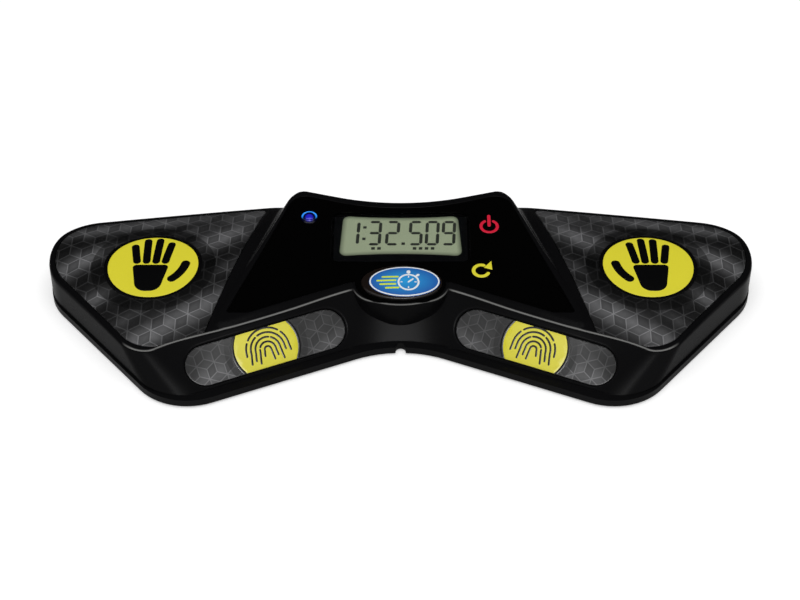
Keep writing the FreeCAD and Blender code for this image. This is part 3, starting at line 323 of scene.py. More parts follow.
def deck(points):
    """Height of the housing's top before its recesses and without its nose.

    The console's flank falls by 2 for each millimetre outside its rim; it is rounded off against
    the panel's slope above and swept into the arched wings below.  In front of the panel the
    surface comes down to the wings over 4.2 mm.
    """
    y = points[:, 1]
    wing = wing_top(points)
    flank = panel_top(y) - 2 * signed_distance(points, CONSOLE_RIM)
    swept = -soft_low(-wing, -soft_low(panel_top(y), flank, 1.8), 2.4)
    ahead = (CONSOLE[0][1] - CONSOLE_FALL * np.abs(points[:, 0]) - y) / CONSOLE_STEP
    share = np.clip(ahead / 4.2, 0, 1)
    return swept + (np.minimum(swept, wing) - swept) * share * share * (3 - 2 * share)


def pad_line(gap):
    """Points of the left palm pad's outline, moved inward by a gap."""
    wall = shifted(housing_corners(15.0), [(5.4, 2.0), (2.3, 2.8)] + [(2.6, 2.6)] * 4
                   + [(2.8, 2.3), (2.0, 5.4)])
    foot, head = np.array([-72.8, PANEL_FRONT]), np.array([-55.4, 46.55])

    def crossing(a, b):
        """Where the pad's inner edge meets the line through two corners."""
        way = b[:2] - a[:2]
        return (*(foot + (head - foot) * cross(a[:2] - foot, way) / cross(head - foot, way)), 1.5)

    outline = [crossing(wall[0], wall[1]), (*wall[1, :2], 16.0), wall[2], crossing(wall[2], wall[3])]
    return rounded_loop(evenly(outline, gap), [6, 24, 28, 6], [24, 50, 50, 50])


def edge_drop(distance, depth, rounding):
    """Depth of a recess by distance outside its edge: a quarter round, then a straight wall."""
    inner = np.clip(rounding - distance, 0, rounding)
    quarter = rounding - np.sqrt(rounding ** 2 - inner ** 2)
    return np.where(distance < -0.01, depth, quarter)


# ------------------------------------------------------------------ meshes

def strips(rows, columns, closed=True):
    """Quads between the rows of a grid of points."""
    r = np.arange(rows - 1)[:, None] * columns
    c = np.arange(columns if closed else columns - 1)[None, :]
    n = (c + 1) % columns
    return np.stack([r + c, r + n, r + columns + n, r + columns + c], axis=2).reshape(-1, 4)


def scattered(low, high, pitch):
    """Points of a triangular lattice over a rectangle."""
    x = np.arange(low[0], high[0], pitch)
    y = np.arange(low[1], high[1], pitch * math.sqrt(3) / 2)
    grid_x, grid_y = np.meshgrid(x, y)
    grid_x = grid_x + np.where(np.arange(len(y)) % 2, pitch / 2, 0)[:, None]
    return np.column_stack([grid_x.ravel(), grid_y.ravel()])


def filled(loops, inner, bounds=1):
    """Triangles that hold every loop as an edge and lie in an odd number of the first few loops."""
    points = np.vstack(list(loops) + [inner])
    edges, faces, start = [], [], 0
    for loop in loops:
        here = np.arange(start, start + len(loop))
        edges.append(np.column_stack([here, np.roll(here, -1)]))
        area = cross(loop, np.roll(loop, -1, axis=0)).sum()
        faces.append(here.tolist() if area > 0 else here[::-1].tolist())
        start += len(loop)
    edges = np.vstack(edges).tolist()
    found = delaunay_2d_cdt(list(map(Vector, points.tolist())), edges, faces[:bounds], 0, 1e-5)
    covers = np.array([len(owners) for owners in found[5]])
    return np.array(found[0]), np.array(found[2])[covers % 2 == 1]


def new_object(name, points, faces, material):
    """An object of one mesh in the scene, from points in metres."""
    mesh = bpy.data.meshes.new(name)
    mesh.from_pydata(points, [], faces)
    mesh.materials.append(material)
    piece = bpy.data.objects.new(name, mesh)
    bpy.context.scene.collection.objects.link(piece)
    return piece


def make_piece(name, parts, material, replaces=(), marks=None):
    """Joins parts, each points in millimetres and faces, into one piece that rides on the case."""
    faces = []
    starts = np.cumsum([0] + [len(part[0]) for part in parts])
    for start, (_, own) in zip(starts, parts):
        faces += (np.asarray(own) + start).tolist() if len(own) else []
    piece = new_object(name, (np.vstack([part[0] for part in parts]) * MM).tolist(), faces, material)
    mesh = piece.data
    if marks is not None:
        # the marks: the flat place of any print, and in the third value the strength of painted light
        layer = mesh.attributes.new("print_mm_and_painted_light", "FLOAT_VECTOR", "POINT")
        layer.data.foreach_set("vector", np.vstack(marks).astype(np.float32).ravel())
    shell = bmesh.new()
    shell.from_mesh(mesh)
    bmesh.ops.remove_doubles(shell, verts=shell.verts, dist=WELD_METRES)
    loose = [vertex for vertex in shell.verts if not vertex.link_faces]
    bmesh.ops.delete(shell, geom=loose, context="VERTS")
    bmesh.ops.recalc_face_normals(shell, faces=shell.faces)
    shell.to_mesh(mesh)
    shell.free()
    mesh.shade_smooth()
    mesh.set_sharp_from_angle(angle=math.radians(SHARP_DEGREES))
    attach(piece, "case")
    if replaces:
        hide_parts(*replaces)


def plate(outline, profile, place, pitch=None, tone=None):
    """Thin piece on a surface: parts for make_piece, and the flat place of each point.

    outline(inset) gives the loops; profile lists (inset, height) from the underside's edge over the
    rim to the top's edge; place(flat, height) lifts flat points onto the surface, and tone(flat)
    gives the strength of painted light kept with each flat place: the display's painted shade, the films'
    painted sheen.
    """
    parts, marks = [], []

    def keep(flat, height, faces):
        """Adds one part with its marks."""
        parts.append((place(flat, height), faces))
        marks.append(np.column_stack([flat, tone(flat) if tone else np.zeros(len(flat))]))

    rows = [outline(inset) for inset, _ in profile]
    for loops in zip(*rows):
        count = len(loops[0])
        keep(np.vstack(loops), np.repeat([height for _, height in profile], count), strips(len(loops), count))
    for loops, height in ((rows[0], profile[0][1]), (rows[-1], profile[-1][1])):
        inner = NO_POINTS
        if pitch:
            inner = scattered(np.vstack(loops).min(0), np.vstack(loops).max(0), pitch)
            gaps = np.array([signed_distance(inner, loop) for loop in loops])
            inner = inner[((gaps < 0).sum(0) % 2 == 1) & (np.abs(gaps).min(0) > 0.35 * pitch)]
        flat, faces = filled(loops, inner, len(loops))
        keep(flat, np.full(len(flat), height), faces)
    return parts, marks


def mirrored(points):
    """The same points on the other side."""
    return points * [-1, 1, 1]


def on_side(place, side):
    """A lifting function for one side: the left one's places, mirrored for the right."""
    return place if side == "left" else lambda flat, height: mirrored(place(flat, height))


# ------------------------------------------------------------------ materials

def linear(code):
    """Linear colour, with an alpha of 1, of an sRGB hex code."""
    srgb = np.array([int(code[i:i + 2], 16) for i in (1, 3, 5)]) / 255
    return (*np.where(srgb <= 0.04045, srgb / 12.92, ((srgb + 0.055) / 1.055) ** 2.4).tolist(), 1.0)


def add_node(tree, kind, inputs=None, **settings):
    """Adds a node, sets its properties, and links or sets its inputs, given by name or place."""
    node = tree.nodes.new(f"ShaderNode{kind}")
    for key, value in settings.items():
        setattr(node, key, value)
    for key, value in (inputs or {}).items():
        if isinstance(value, bpy.types.NodeSocket):
            tree.links.new(value, node.inputs[key])
        else:
            node.inputs[key].default_value = value
    return node


def new_material(name, **sockets):
    """A material whose surface is one Principled shader with these sockets set."""
    material = bpy.data.materials.new(name)
    material.use_nodes = True
    tree = material.node_tree
    shader = tree.nodes["Principled BSDF"]
    for key, value in sockets.items():
        shader.inputs[key.replace("_", " ")].default_value = value
    return material, tree, shader


def marks_and_painted_light(tree):
    """A piece's own marks: the flat place in mm of each point, and the painted light kept with it: a
    highlight on the rims, a shade on the display, a sheen on the films.
    """
    marks = add_node(tree, "Attribute", attribute_name="print_mm_and_painted_light").outputs["Vector"]
    return marks, add_node(tree, "SeparateXYZ", {0: marks}).outputs["Z"]


def surface(name, colour, rough, spread, grain_mm, bump, vary=0.12, **sockets):
    """One body colour that varies a little, a fine relief of a real size, and a sheen in patches."""
    material, tree, shader = new_material(name, **sockets)
    place = add_node(tree, "TexCoord").outputs["Object"]
    grain, patch = (
        add_node(tree, "TexNoise", {"Vector": place, "Scale": scale, "Detail": detail}).outputs["Fac"]
        for scale, detail in ((1 / (grain_mm * MM), 2.0), (PATCHES_PER_METRE, 3.0)))
    half = add_node(tree, "Mix", {0: 0.5, 2: patch, 3: grain}).outputs[0]
    low, high = (np.minimum(np.array(colour) * share, 1).tolist() for share in (1 - vary, 1 + vary))
    tint = add_node(tree, "Mix", {0: half, 6: low, 7: high}, data_type="RGBA").outputs[2]
    sheen = add_node(tree, "MapRange",
                     {"Value": patch, "To Min": rough - spread, "To Max": rough + spread}).outputs[0]
    relief = add_node(tree, "Bump",
                      {"Height": grain, "Strength": bump, "Distance": grain_mm * MM * 0.5}).outputs[0]
    for socket, key in ((tint, "Base Color"), (sheen, "Roughness"), (relief, "Normal")):
        tree.links.new(socket, shader.inputs[key])
    return material


def ink(name, colour, rough=0.34):
    """Screen-printed ink: flat, even colour with the film's own soft gloss."""
    return surface(name, colour, rough, 0.02, 0.3, 0.01, vary=0.04)


def shell_material(colour):
    """Injection-moulded ABS from a polished tool: deep black with a soft, even gloss.

    Along the front rims, where the piece's marks hold a strength, a thin pale line is painted in as a painted
    highlight on the rim.
    """
    material = surface("moulded_gloss_abs", colour, 0.27, 0.03, 0.6, 0.02, IOR=1.12)
    tree = material.node_tree
    base = tree.nodes["Principled BSDF"].inputs["Base Color"]
    # painted highlight: a pale grey mixed into the black where the marks' third value is high
    painted_highlight = add_node(tree, "Mix", {0: marks_and_painted_light(tree)[1], 6: base.links[0].from_socket,
                                    7: linear("#7c7c7a")}, data_type="RGBA")
    tree.links.new(painted_highlight.outputs[2], base)
    return material


def lattice_print(name, spacing, star, centre, shade_radius, rough):
    """Screen-printed film: a tumbling-block lattice in grey lines over black, lightened in soft slanting
    bands of painted sheen.

    Flat places in mm and the painted sheen's strength come from the film's own attribute.  The nearest
    star point of a triangular lattice is the shorter of two rectangular remainders; its spokes at
    30, 90 and 150 degrees are the lines, and the farthest spoke tells the three kinds of rhombus
    apart.  Near the printed spot, within shade_radius of centre, the print is darker.
    """
    material, tree, shader = new_material(name, Roughness=rough, IOR=1.5)
    marks, painted_sheen = marks_and_painted_light(tree)
    flat = add_node(tree, "VectorMath", {0: marks, 1: (1, 1, 0)}, operation="MULTIPLY").outputs["Vector"]
    wide, deep = spacing, spacing * math.sqrt(3)
    near = []
    for cells in (40.5, 40.0):
        rest = flat
        for kind, by in (("ADD", (cells * wide - star[0], cells * deep - star[1], 0)),
                         ("MODULO", (wide, deep, 1)), ("SUBTRACT", (wide / 2, deep / 2, 0))):
            rest = add_node(tree, "VectorMath", {0: rest, 1: by}, operation=kind).outputs["Vector"]
        near.append(rest)
    sizes = [add_node(tree, "VectorMath", {0: rest}, operation="LENGTH").outputs["Value"] for rest in near]
    second = add_node(tree, "Math", {0: sizes[0], 1: sizes[1]}, operation="GREATER_THAN").outputs[0]
    rest = add_node(tree, "Mix", {0: second, 4: near[0], 5: near[1]}, data_type="VECTOR").outputs[1]
    grain = add_node(tree, "TexNoise", {"Vector": marks, "Scale": 0.25, "Detail": 2.0})
    reach = add_node(tree, "VectorMath", {0: flat, 1: (*centre, 0)}, operation="DISTANCE")
    values = {"painted_sheen": painted_sheen, "grain": grain.outputs["Fac"], "reach": reach.outputs["Value"]}
    for degrees in (30, 90, 150):
        t = math.radians(degrees)
        dot = add_node(tree, "VectorMath", {0: rest, 1: (-math.sin(t), math.cos(t), 0)},
                       operation="DOT_PRODUCT").outputs["Value"]
        values[f"spoke_{degrees}"] = add_node(tree, "Math", {0: dot}, operation="ABSOLUTE").outputs[0]
    for result, kind, *terms in (
            # the line: full to 0.12 mm from the nearest spoke, gone at 0.26 mm
            ("gap", "MINIMUM", "spoke_30", "spoke_90"),
            ("gap", "MINIMUM", "gap", "spoke_150"),
            ("line", "MULTIPLY_ADD", "gap", -1 / 0.14, 0.26 / 0.14),
            ("line", "MINIMUM", "line", 1.0),
            ("line", "MAXIMUM", "line", 0.0),
            # the rhombus: 0.35 on top, 0.7 to the left and 0 to the right, lighter away from its lines
            ("sides", "MAXIMUM", "spoke_30", "spoke_150"),
            ("top", "GREATER_THAN", "spoke_90", "sides"),
            ("under", "SUBTRACT", 1.0, "top"),
            ("left", "GREATER_THAN", "spoke_30", "spoke_150"),
            ("left", "MULTIPLY", "left", "under"),
            ("facet", "MULTIPLY", "left", 0.7),
            ("facet", "MULTIPLY_ADD", "top", 0.35, "facet"),
            ("facet", "MULTIPLY_ADD", "gap", 0.12, "facet"),
            # the ground: the painted sheen's bands, made uneven by the grain on each rhombus
            ("cloud", "ADD", "grain", 0.2),
            ("facet", "MULTIPLY_ADD", "facet", "cloud", 0.62),
            ("ground", "MULTIPLY_ADD", "painted_sheen", 0.105, 0.006),
            ("ground", "MULTIPLY", "ground", "facet"),
            # the lattice's lines are lightened by the painted sheen as well
            ("inked", "MULTIPLY_ADD", "painted_sheen", 0.1, 0.022),
            ("value", "MULTIPLY_ADD", "line", "inked", "ground"),
            # the shade round the spot
            ("outside", "GREATER_THAN", "reach", shade_radius),
            ("clear", "MULTIPLY_ADD", "outside", 0.58, 0.42),
            ("value", "MULTIPLY", "value", "clear"),
            ("blue", "MULTIPLY", "value", 1.03)):
        inputs = {place: values.get(term, term) for place, term in enumerate(terms)}
        values[result] = add_node(tree, "Math", inputs, operation=kind).outputs[0]
    tone = add_node(tree, "CombineColor", {0: values["value"], 1: values["value"], 2: values["blue"]})
    tree.links.new(tone.outputs[0], shader.inputs["Base Color"])
    return material


def lens_material():
    """Tinted clear moulding over a blue diode: navy at its rim, royal blue in front, and behind a bright arc
    that is a painted reflection; the colour also glows faintly.
    """
    material, tree, shader = new_material("tinted_lens", Roughness=0.08, IOR=1.49, Coat_Weight=0.6,
                                          Coat_Roughness=0.05, Emission_Strength=0.35)
    place = add_node(tree, "TexCoord").outputs["Object"]
    flat = add_node(tree, "VectorMath", {0: place, 1: (1, 1, 0)}, operation="MULTIPLY").outputs["Vector"]
    shares = []
    # circles on the lens, each by the y of its middle and the radii where it starts to fade and ends
    for y, near, far in ((33.2, 2.9, 3.3), (32.0, 2.3, 3.1), (31.7, 1.0, 2.0)):
        gap = add_node(tree, "VectorMath", {0: flat, 1: (LENS[0] * MM, y * MM, 0)},
                       operation="DISTANCE").outputs["Value"]
        shares.append(add_node(tree, "MapRange", {"Value": gap, "From Min": near * MM, "From Max": far * MM,
                                                  "To Min": 1.0, "To Max": 0.0}).outputs[0])
    body, hollow, core = shares
    # painted reflection: the bright arc at the lens's back, between the outer circle and the hollow one
    arc = add_node(tree, "Math", {0: body, 1: hollow}, operation="SUBTRACT", use_clamp=True).outputs[0]
    colour = linear("#030318")
    for share, code in ((core, "#1c1caa"), (arc, "#2f8ff0")):
        colour = add_node(tree, "Mix", {0: share, 6: colour, 7: linear(code)}, data_type="RGBA").outputs[2]
    for key in ("Base Color", "Emission Color"):
        tree.links.new(colour, shader.inputs[key])
    return material


def display_material():
    """Reflective liquid-crystal cell: grey-green, with a painted shade that darkens it softly toward its
    edges.
    """
    material, tree, shader = new_material("lcd_reflective_cell", Roughness=0.3, IOR=1.4)
    # painted shade: a dark green mixed in toward the lit area's edges, by the marks' third value
    tint = add_node(tree, "Mix", {0: marks_and_painted_light(tree)[1], 6: linear("#262c22"), 7: linear("#a0ac8e")},
                    data_type="RGBA")
    tree.links.new(tint.outputs[2], shader.inputs["Base Color"])
    return material


def badge_material():
    """Resin-domed print: mid blue that deepens toward the oval's edge, under a clear coat."""
    material, tree, shader = new_material("resin_domed_print", Roughness=0.3, IOR=1.5, Coat_Weight=0.5,
                                          Coat_Roughness=0.06)
    (x, y), (wide, deep) = BADGE, BADGE_HALF
    place = add_node(tree, "TexCoord").outputs["Object"]
    oval_place = add_node(tree, "Mapping", {"Vector": place, "Location": (-x / wide, -y / deep, 0),
                                            "Scale": (1 / (wide * MM), 1 / (deep * MM), 0)})
    reach = add_node(tree, "VectorMath", {0: oval_place.outputs["Vector"]}, operation="LENGTH")
    tint = add_node(tree, "Mix", {0: reach.outputs["Value"], 6: linear("#259cdc"), 7: linear("#1e56a6")},
                    data_type="RGBA")
    tree.links.new(tint.outputs[2], shader.inputs["Base Color"])
    return material


# ------------------------------------------------------------------ settings of the panel

class TimerSizes(PropertyGroup):
    """Sizes that shape the dressed timer."""
    side_roll: FloatProperty(name="Side roll", description="Rounding of the side and back rims",
                             default=1.75 * MM, unit="LENGTH")
    front_roll: FloatProperty(name="Front roll", description="Rounding of the front rim",
                              default=1.0 * MM, unit="LENGTH")
    recess_round: FloatProperty(name="Recess edge", description="Rounding of the finger recesses' edge",
                                default=0.8 * MM, unit="LENGTH")


class TimerColours(PropertyGroup):
    """Colours of the timer's finishes."""
    shell: FloatVectorProperty(name="Shell", description="Black of the moulded upper shell", size=4,
                               subtype="COLOR", default=linear("#0b0b0c"))
    spot: FloatVectorProperty(name="Spot", description="Yellow of the spots and the reset symbol", size=4,
                              subtype="COLOR", default=linear("#dcd32c"))
    power: FloatVectorProperty(name="Power", description="Red of the power symbol", size=4,
                               subtype="COLOR", default=linear("#d00c32"))


# ------------------------------------------------------------------ the upper shell

def rim_stations(side_roll, front_roll, top):
    """For each station: level where the wall meets the top, its place, way inward and roll's size."""
    low, high = np.full(len(FOOT_LINE), 8.0), np.full(len(FOOT_LINE), TALL)
    for _ in range(26):
        level = (low + high) / 2
        above = level > top(wall_at(level))
        low, high = np.where(above, low, level), np.where(above, level, high)
    rim = wall_at(level)
    inward = inward_of(rim)
    share = np.interp(inward[:, 1], [-0.95, -0.5, 0.3, 0.66, 0.93], [0.4, 0.6, 1.0, 1.0, 0.0])
    return level, rim, inward, front_roll + (side_roll - front_roll) * smoothed(share)


def face_place():
    """Middle, along, up and outward directions of the left front face's recess."""
    def at(x, level):
        """Point of the front face at x and a height."""
        (x0, y0), (x1, y1) = housing_corners(level)[:2, :2]
        return np.array([x, y0 + (y1 - y0) * (x - x0) / (x1 - x0), level])

    x, level = RECESS_MIDDLE
    along, up = at(x + 1, level) - at(x - 1, level), at(x, level + 1) - at(x, level - 1)
    out = unit(np.cross(along, up))
    along = unit(along)
    up = np.cross(out, along)
    roll = math.radians(RECESS_ROLL_DEGREES)
    return (at(x, level), along * math.cos(roll) + up * math.sin(roll),
            up * math.cos(roll) - along * math.sin(roll), out)


FACE = face_place()


def station_of(x, level):
    """Station, as a fraction, where the left front wall has this x at this height."""
    share = (level - LIP_TOP) / (TALL - LIP_TOP)
    count = ARCS[0] + RUNS[0] + ARCS[1]
    index = np.arange(count)
    low, high = np.zeros(len(x)), np.full(len(x), count - 1.0)
    for _ in range(30):
        middle = (low + high) / 2
        here = (np.interp(middle, index, FOOT_LINE[:count, 0]) * (1 - share)
                + np.interp(middle, index, TALL_LINE[:count, 0]) * share)
        low, high = np.where(here > x, middle, low), np.where(here > x, high, middle)
    return low


def wall_point(station, level):
    """Point of the wall at a fractional station and a height."""
    share = ((level - LIP_TOP) / (TALL - LIP_TOP))[:, None]
    index = np.arange(len(FOOT_LINE))
    foot, tall = (np.column_stack([np.interp(station, index, line[:, axis]) for axis in (0, 1)])
                  for line in (FOOT_LINE, TALL_LINE))
    return np.column_stack([foot * (1 - share) + tall * share, level])


def on_face(flat, depth):
    """Lifts flat points of the recess's drawing onto the left front face, or a depth below it."""
    middle, along, up, out = FACE
    start = middle + flat[:, :1] * along + flat[:, 1:] * up
    reach = np.zeros(len(flat))
    for _ in range(12):
        here = start + reach[:, None] * out
        wall = wall_point(station_of(here[:, 0], here[:, 2]), here[:, 2])
        reach += (here[:, 1] - wall[:, 1]) * abs(out[1])
    return start + (reach - depth)[:, None] * out


def roll_rows(lower, corner, upper):
    """Rows of a rolled edge: a quadratic curve from one line to another, drawn toward their corner."""
    t = np.linspace(0, 1, 9)[:, None, None]
    return (1 - t) ** 2 * lower + 2 * t * (1 - t) * corner + t ** 2 * upper


def grid_border(grid):
    """The points round a grid, in order."""
    return np.vstack([grid[0], grid[1:, -1], grid[-1, -2::-1], grid[-2:0:-1, 0]])


def level_part(line, level):
    """A flat floor inside a closed line."""
    flat, faces = filled([line], NO_POINTS)
    return np.column_stack([flat, np.full(len(flat), level)]), faces


def front_face(block, first, rounding):
    """Left front face with its finger recess, from the wall's rows between two stations.

    The face is laid out flat, with 1.5 mm for a station and 20 mm for the height of the wall.
    """
    wide, tall = 1.5, 20.0
    stations = np.arange(first, first + block.shape[1], dtype=float)
    foot_level, top_level = block[0, :, 2], block[-1, :, 2]

    def levels(station):
        """The wall's lowest and highest level at a fractional station."""
        return np.interp(station, stations, foot_level), np.interp(station, stations, top_level)

    share = (block[:, :, 2] - foot_level) / (top_level - foot_level)
    border = grid_border(np.stack([np.broadcast_to(stations, share.shape) * wide, share * tall], axis=2))
    loops = [border]
    for step in np.append(EDGE_STEPS * rounding, INSIDE_STEPS):
        spot = on_face(stadium(*RECESS, -step), 0.0)
        station = station_of(spot[:, 0], spot[:, 2])
        low, high = levels(station)
        loops.append(np.column_stack([station * wide, (spot[:, 2] - low) / (high - low) * tall]))
    inner = scattered(border.min(0) + 0.7, border.max(0) - 0.7, 1.6)
    near = np.min([np.abs(signed_distance(inner, loop)) for loop in loops], axis=0)
    flat, faces = filled(loops, inner[near > 0.5])
    station = flat[:, 0] / wide
    low, high = levels(station)
    skin = wall_point(station, low + (high - low) * flat[:, 1] / tall)
    on_border = np.abs(signed_distance(flat, border)) < ON_LINE
    nearest = np.argmin(np.linalg.norm(flat[on_border][:, None] - border, axis=2), axis=1)
    skin[on_border] = grid_border(block)[nearest]
    middle, along, up, out = FACE
    local = np.column_stack([(skin - middle) @ along, (skin - middle) @ up])
    drop = edge_drop(signed_distance(local, stadium(*RECESS, 0.0, 40)), RECESS_DEPTH, rounding)
    drop[on_border] = 0
    return skin - drop[:, None] * out, faces


def wall_parts(foot, crease, roll, inward, rounding):
    """The walls' top line, the line of their foot inside its groove, and the parts of the walls."""
    wall_top = crease + unit(foot - crease) * roll[:, None]
    set_back = np.column_stack([inward * GROOVE_DEPTH, np.zeros(len(inward))])
    groove_top = foot + (wall_top - foot) * (GROOVE_HEIGHT / (wall_top[:, 2] - LIP_TOP))[:, None]
    rows = groove_top + (wall_top - groove_top) * np.linspace(0, 1, 13)[:, None, None]
    rows = np.concatenate([(foot + set_back)[None], (groove_top + set_back)[None], rows])
    count = len(foot)
    quads = strips(len(rows), count)
    # the stations between which a front face has its recess, and the same stations mirrored
    first, last = 17, ARCS[0] + RUNS[0] + 2
    row, column = np.divmod(np.arange(len(quads)), count)
    mirror_column = (ARCS[0] - 1 - column) % count
    left = (row >= 2) & (column >= first) & (column < last)
    right = (row >= 2) & (mirror_column > first) & (mirror_column <= last)
    skin, faces = front_face(rows[2:, first:last + 1], first, rounding)
    walls = [(rows.reshape(-1, 3), quads[~left & ~right]), (skin, faces), (mirrored(skin), faces)]
    return wall_top, (foot + set_back)[:, :2], walls


def top_part(inner, height):
    """Top inside the rolled rim: one field of heights with the recesses for pads, panel and window."""
    pads = [pad_line(-step * PAD_ROUND) for step in EDGE_STEPS[3:]] + [pad_line(0.03), pad_line(1.5)]
    rims = [console_line(-step * PANEL_ROUND) for step in EDGE_STEPS] + [console_line(0.03)]
    half, front, back = WINDOW
    windows = [rounded_loop(box_corners(-half - gap, half + gap, front - gap, back + gap, 4 + gap), 10, 12)
               for gap in (-0.3, -0.35)]
    pad, panel, window = pads[4], rims[7], windows[0]

    def gaps(points):
        """Distances from the edges of the nearer pad, the panel and the window."""
        sides = [signed_distance(points, line) for line in (pad, pad * [-1, 1])]
        return np.min(sides, axis=0), signed_distance(points, panel), signed_distance(points, window)

    loops = [inner] + rims + windows + pads + [line * [-1, 1] for line in pads]
    fine, crest = scattered((-142, -42), (142, 54), 1.1), scattered((-62, 5), (62, 54), 0.6)
    in_pad, in_panel, in_window = gaps(fine)
    within = signed_distance(fine, inner)
    away = np.min(np.abs([within, in_pad, in_panel, in_window]), axis=0)
    # one fine point in seven is enough inside the flat pads and panel
    coarse = np.arange(len(fine)) % 7 == 0
    use = (within < 0) & (away > 0.55) & ((np.minimum(in_pad, in_panel) > -1) | coarse)
    use &= (np.abs(signed_distance(fine, CONSOLE_RIM) - 0.2) > 1.4) | (fine[:, 1] < 5)
    # denser points along the crest of the console's flank
    crest = crest[(np.abs(signed_distance(crest, CONSOLE_RIM) - 0.2) < 1.2)
                  & (signed_distance(crest, inner) < -0.4) & (signed_distance(crest, rims[0]) > 0.4)]
    flat, faces = filled(loops, np.vstack([fine[use], crest]))
    in_pad, in_panel, in_window = gaps(flat)
    drop = edge_drop(in_pad, PAD_DEPTH, PAD_ROUND) + edge_drop(in_panel, PANEL_DEPTH, PANEL_ROUND)
    drop = np.where(in_window < -0.02, WINDOW_DEPTH, drop)
    drop[np.abs(signed_distance(flat, inner)) < ON_LINE] = 0
    return np.column_stack([flat, height(flat) - drop]), faces


def nose_parts(upper_line, roll):
    """The nose: its own roll and skirt, down to inside the front face, its top and its floor."""
    edge, panel_edge = nose_line(0), console_line()

    def height(points):
        """The panel's slope, sunk under the panel inside the console."""
        return panel_top(points[:, 1]) - 1.3 * np.clip(-signed_distance(points, panel_edge), 0, 1)

    corner = np.column_stack([edge, height(edge)])
    rows = roll_rows(corner - [0, 0, roll], corner, np.column_stack([upper_line, height(upper_line)]))
    rows = np.concatenate([np.column_stack([edge, np.full(len(edge), NOSE_FOOT)])[None], rows])
    lines = [nose_line(inset) for inset in np.append(1.6 - EDGE_STEPS[2:] * PANEL_ROUND, 1.63)]
    flat, faces = filled([upper_line] + lines, NO_POINTS)
    drop = edge_drop(signed_distance(flat, lines[5]), PANEL_DEPTH, PANEL_ROUND)
    drop[np.abs(signed_distance(flat, upper_line)) < ON_LINE] = 0
    return [(rows.reshape(-1, 3), strips(len(rows), len(edge))),
            (np.column_stack([flat, height(flat) - drop]), faces), level_part(edge, NOSE_FOOT)]


class TIMER_OT_housing(Operator):
    """Makes the upper shell: ruled walls, rolled rims, arched wings, console, nose and recesses"""
    bl_idname = "timer.housing"
    bl_label = "Housing"

    def execute(self, context):
        sizes = context.scene.timer_sizes
        front_roll = sizes.front_roll / MM
        nose_in = nose_line(front_roll)

        def height(points):
            """The deck, sunk under the nose."""
            return deck(points) - 2.5 * np.clip(-signed_distance(points, nose_in), 0, 1)

        level, rim, inward, roll = rim_stations(sizes.side_roll / MM, front_roll, height)
        crease = np.column_stack([rim, level])
        foot = np.column_stack([FOOT_LINE, np.full(len(level), LIP_TOP)])
        wall_top, floor_line, walls = wall_parts(foot, crease, roll, inward, sizes.recess_round / MM)
        inner = rim + inward * roll[:, None]
        rolled = roll_rows(wall_top, crease, np.column_stack([inner, height(inner)]))
        parts = [(rolled.reshape(-1, 3), strips(len(rolled), len(level))), *walls, top_part(inner, height),
                 *nose_parts(nose_in, front_roll), level_part(floor_line, LIP_TOP)]
        # the painted highlight along the front rims: a thin pale line, by the rows of the rim's roll and of
        # the nose's
        marks = [np.zeros((len(part[0]), 3)) for part in parts]
        front = np.clip((inward[:, 1] - 0.72) / 0.2, 0, 1) * np.clip((np.abs(rim[:, 0]) - 18.5) / 2, 0, 1)
        nose_highlight = 0.8 * np.clip((-6 - nose_line(0)[:, 1]) / 5, 0, 1)
        marks[0][:, 2] = (np.array([0, 0, 0, 0, 0.7, 1, 0.4, 0, 0])[:, None] * front).ravel()
        marks[5][:, 2] = (np.array([0, 0, 0, 0, 0, 0.7, 1, 0.4, 0, 0])[:, None] * nose_highlight).ravel()
        make_piece("housing", parts, shell_material(context.scene.timer_colours.shell),
                   replaces=["upper_housing"], marks=marks)
        return {"FINISHED"}


# ------------------------------------------------------------------ the printed pads

def on_wing(flat, height):
    """Lifts plan points of the left pad onto its wing, over or under the arch."""
    return np.column_stack([flat, wing_top(flat) + height])


def on_strip(flat, height):
    """Lifts flat points onto the left finger recess's film."""
    return on_face(flat, FILM_DEPTH - height)


def streaks(spots):
    """Strength of a painted sheen in soft slanting bands: a sum of bells, each stretched along its own angle.
    """
    def tone(flat):
        """Strength at flat places."""
        total = np.zeros(len(flat))
        for x, y, long, wide, degrees, strength in spots:
            t = math.radians(degrees)
            dx, dy = flat[:, 0] - x, flat[:, 1] - y
            u, v = dx * math.cos(t) + dy * math.sin(t), dy * math.cos(t) - dx * math.sin(t)
            total += strength * np.exp(-(u / long) ** 2 - (v / wide) ** 2)
        return np.clip(total, 0, 1.2)
    return tone


# each band of painted sheen: x and y of its middle, its length, width and angle in degrees, its strength
PALM_PAINTED_SHEEN = [(-126, 11, 16, 4.2, 32, 0.85), (-119, -9.5, 9, 3.6, 38, 0.75), (-99, -31, 13, 4.5, 33, 0.75),
                (-80, -17, 16, 5.0, 36, 0.85), (-72, 25.5, 16, 5.2, 38, 0.8), (-125, 29.5, 12, 3.2, 18, 0.4),
                (-98, 36, 22, 3.6, 14, 0.55), (-66, 8, 9, 3, 40, 0.25), (-107, -22, 12, 3, 35, 0.2),
                (-62, 42, 10, 3, 25, 0.45), (-84, 30, 10, 2.4, 30, 0.25)]
FINGER_PAINTED_SHEEN = [(-24, -5.5, 10, 4, 20, 0.75), (-14, -7, 7, 3, 20, 0.5), (24, -6, 10, 3.5, 20, 0.55),
                  (20, 1, 8, 3, 30, 0.15), (-22, 1, 8, 3, 30, 0.2)]
# profiles of plates, as (inset, height): a film's rolled edge, thin ink and the ink printed over it
FILM_EDGE = [(0, -0.8), (0, -0.25), (0.07, -0.08), (0.25, 0), (0.4, 0), (0.7, 0)]
INK = [(0, -0.05), (0, 0.03), (0.02, 0.04)]
OVER_INK = [(0, -0.02), (0, 0.06), (0.02, 0.07)]


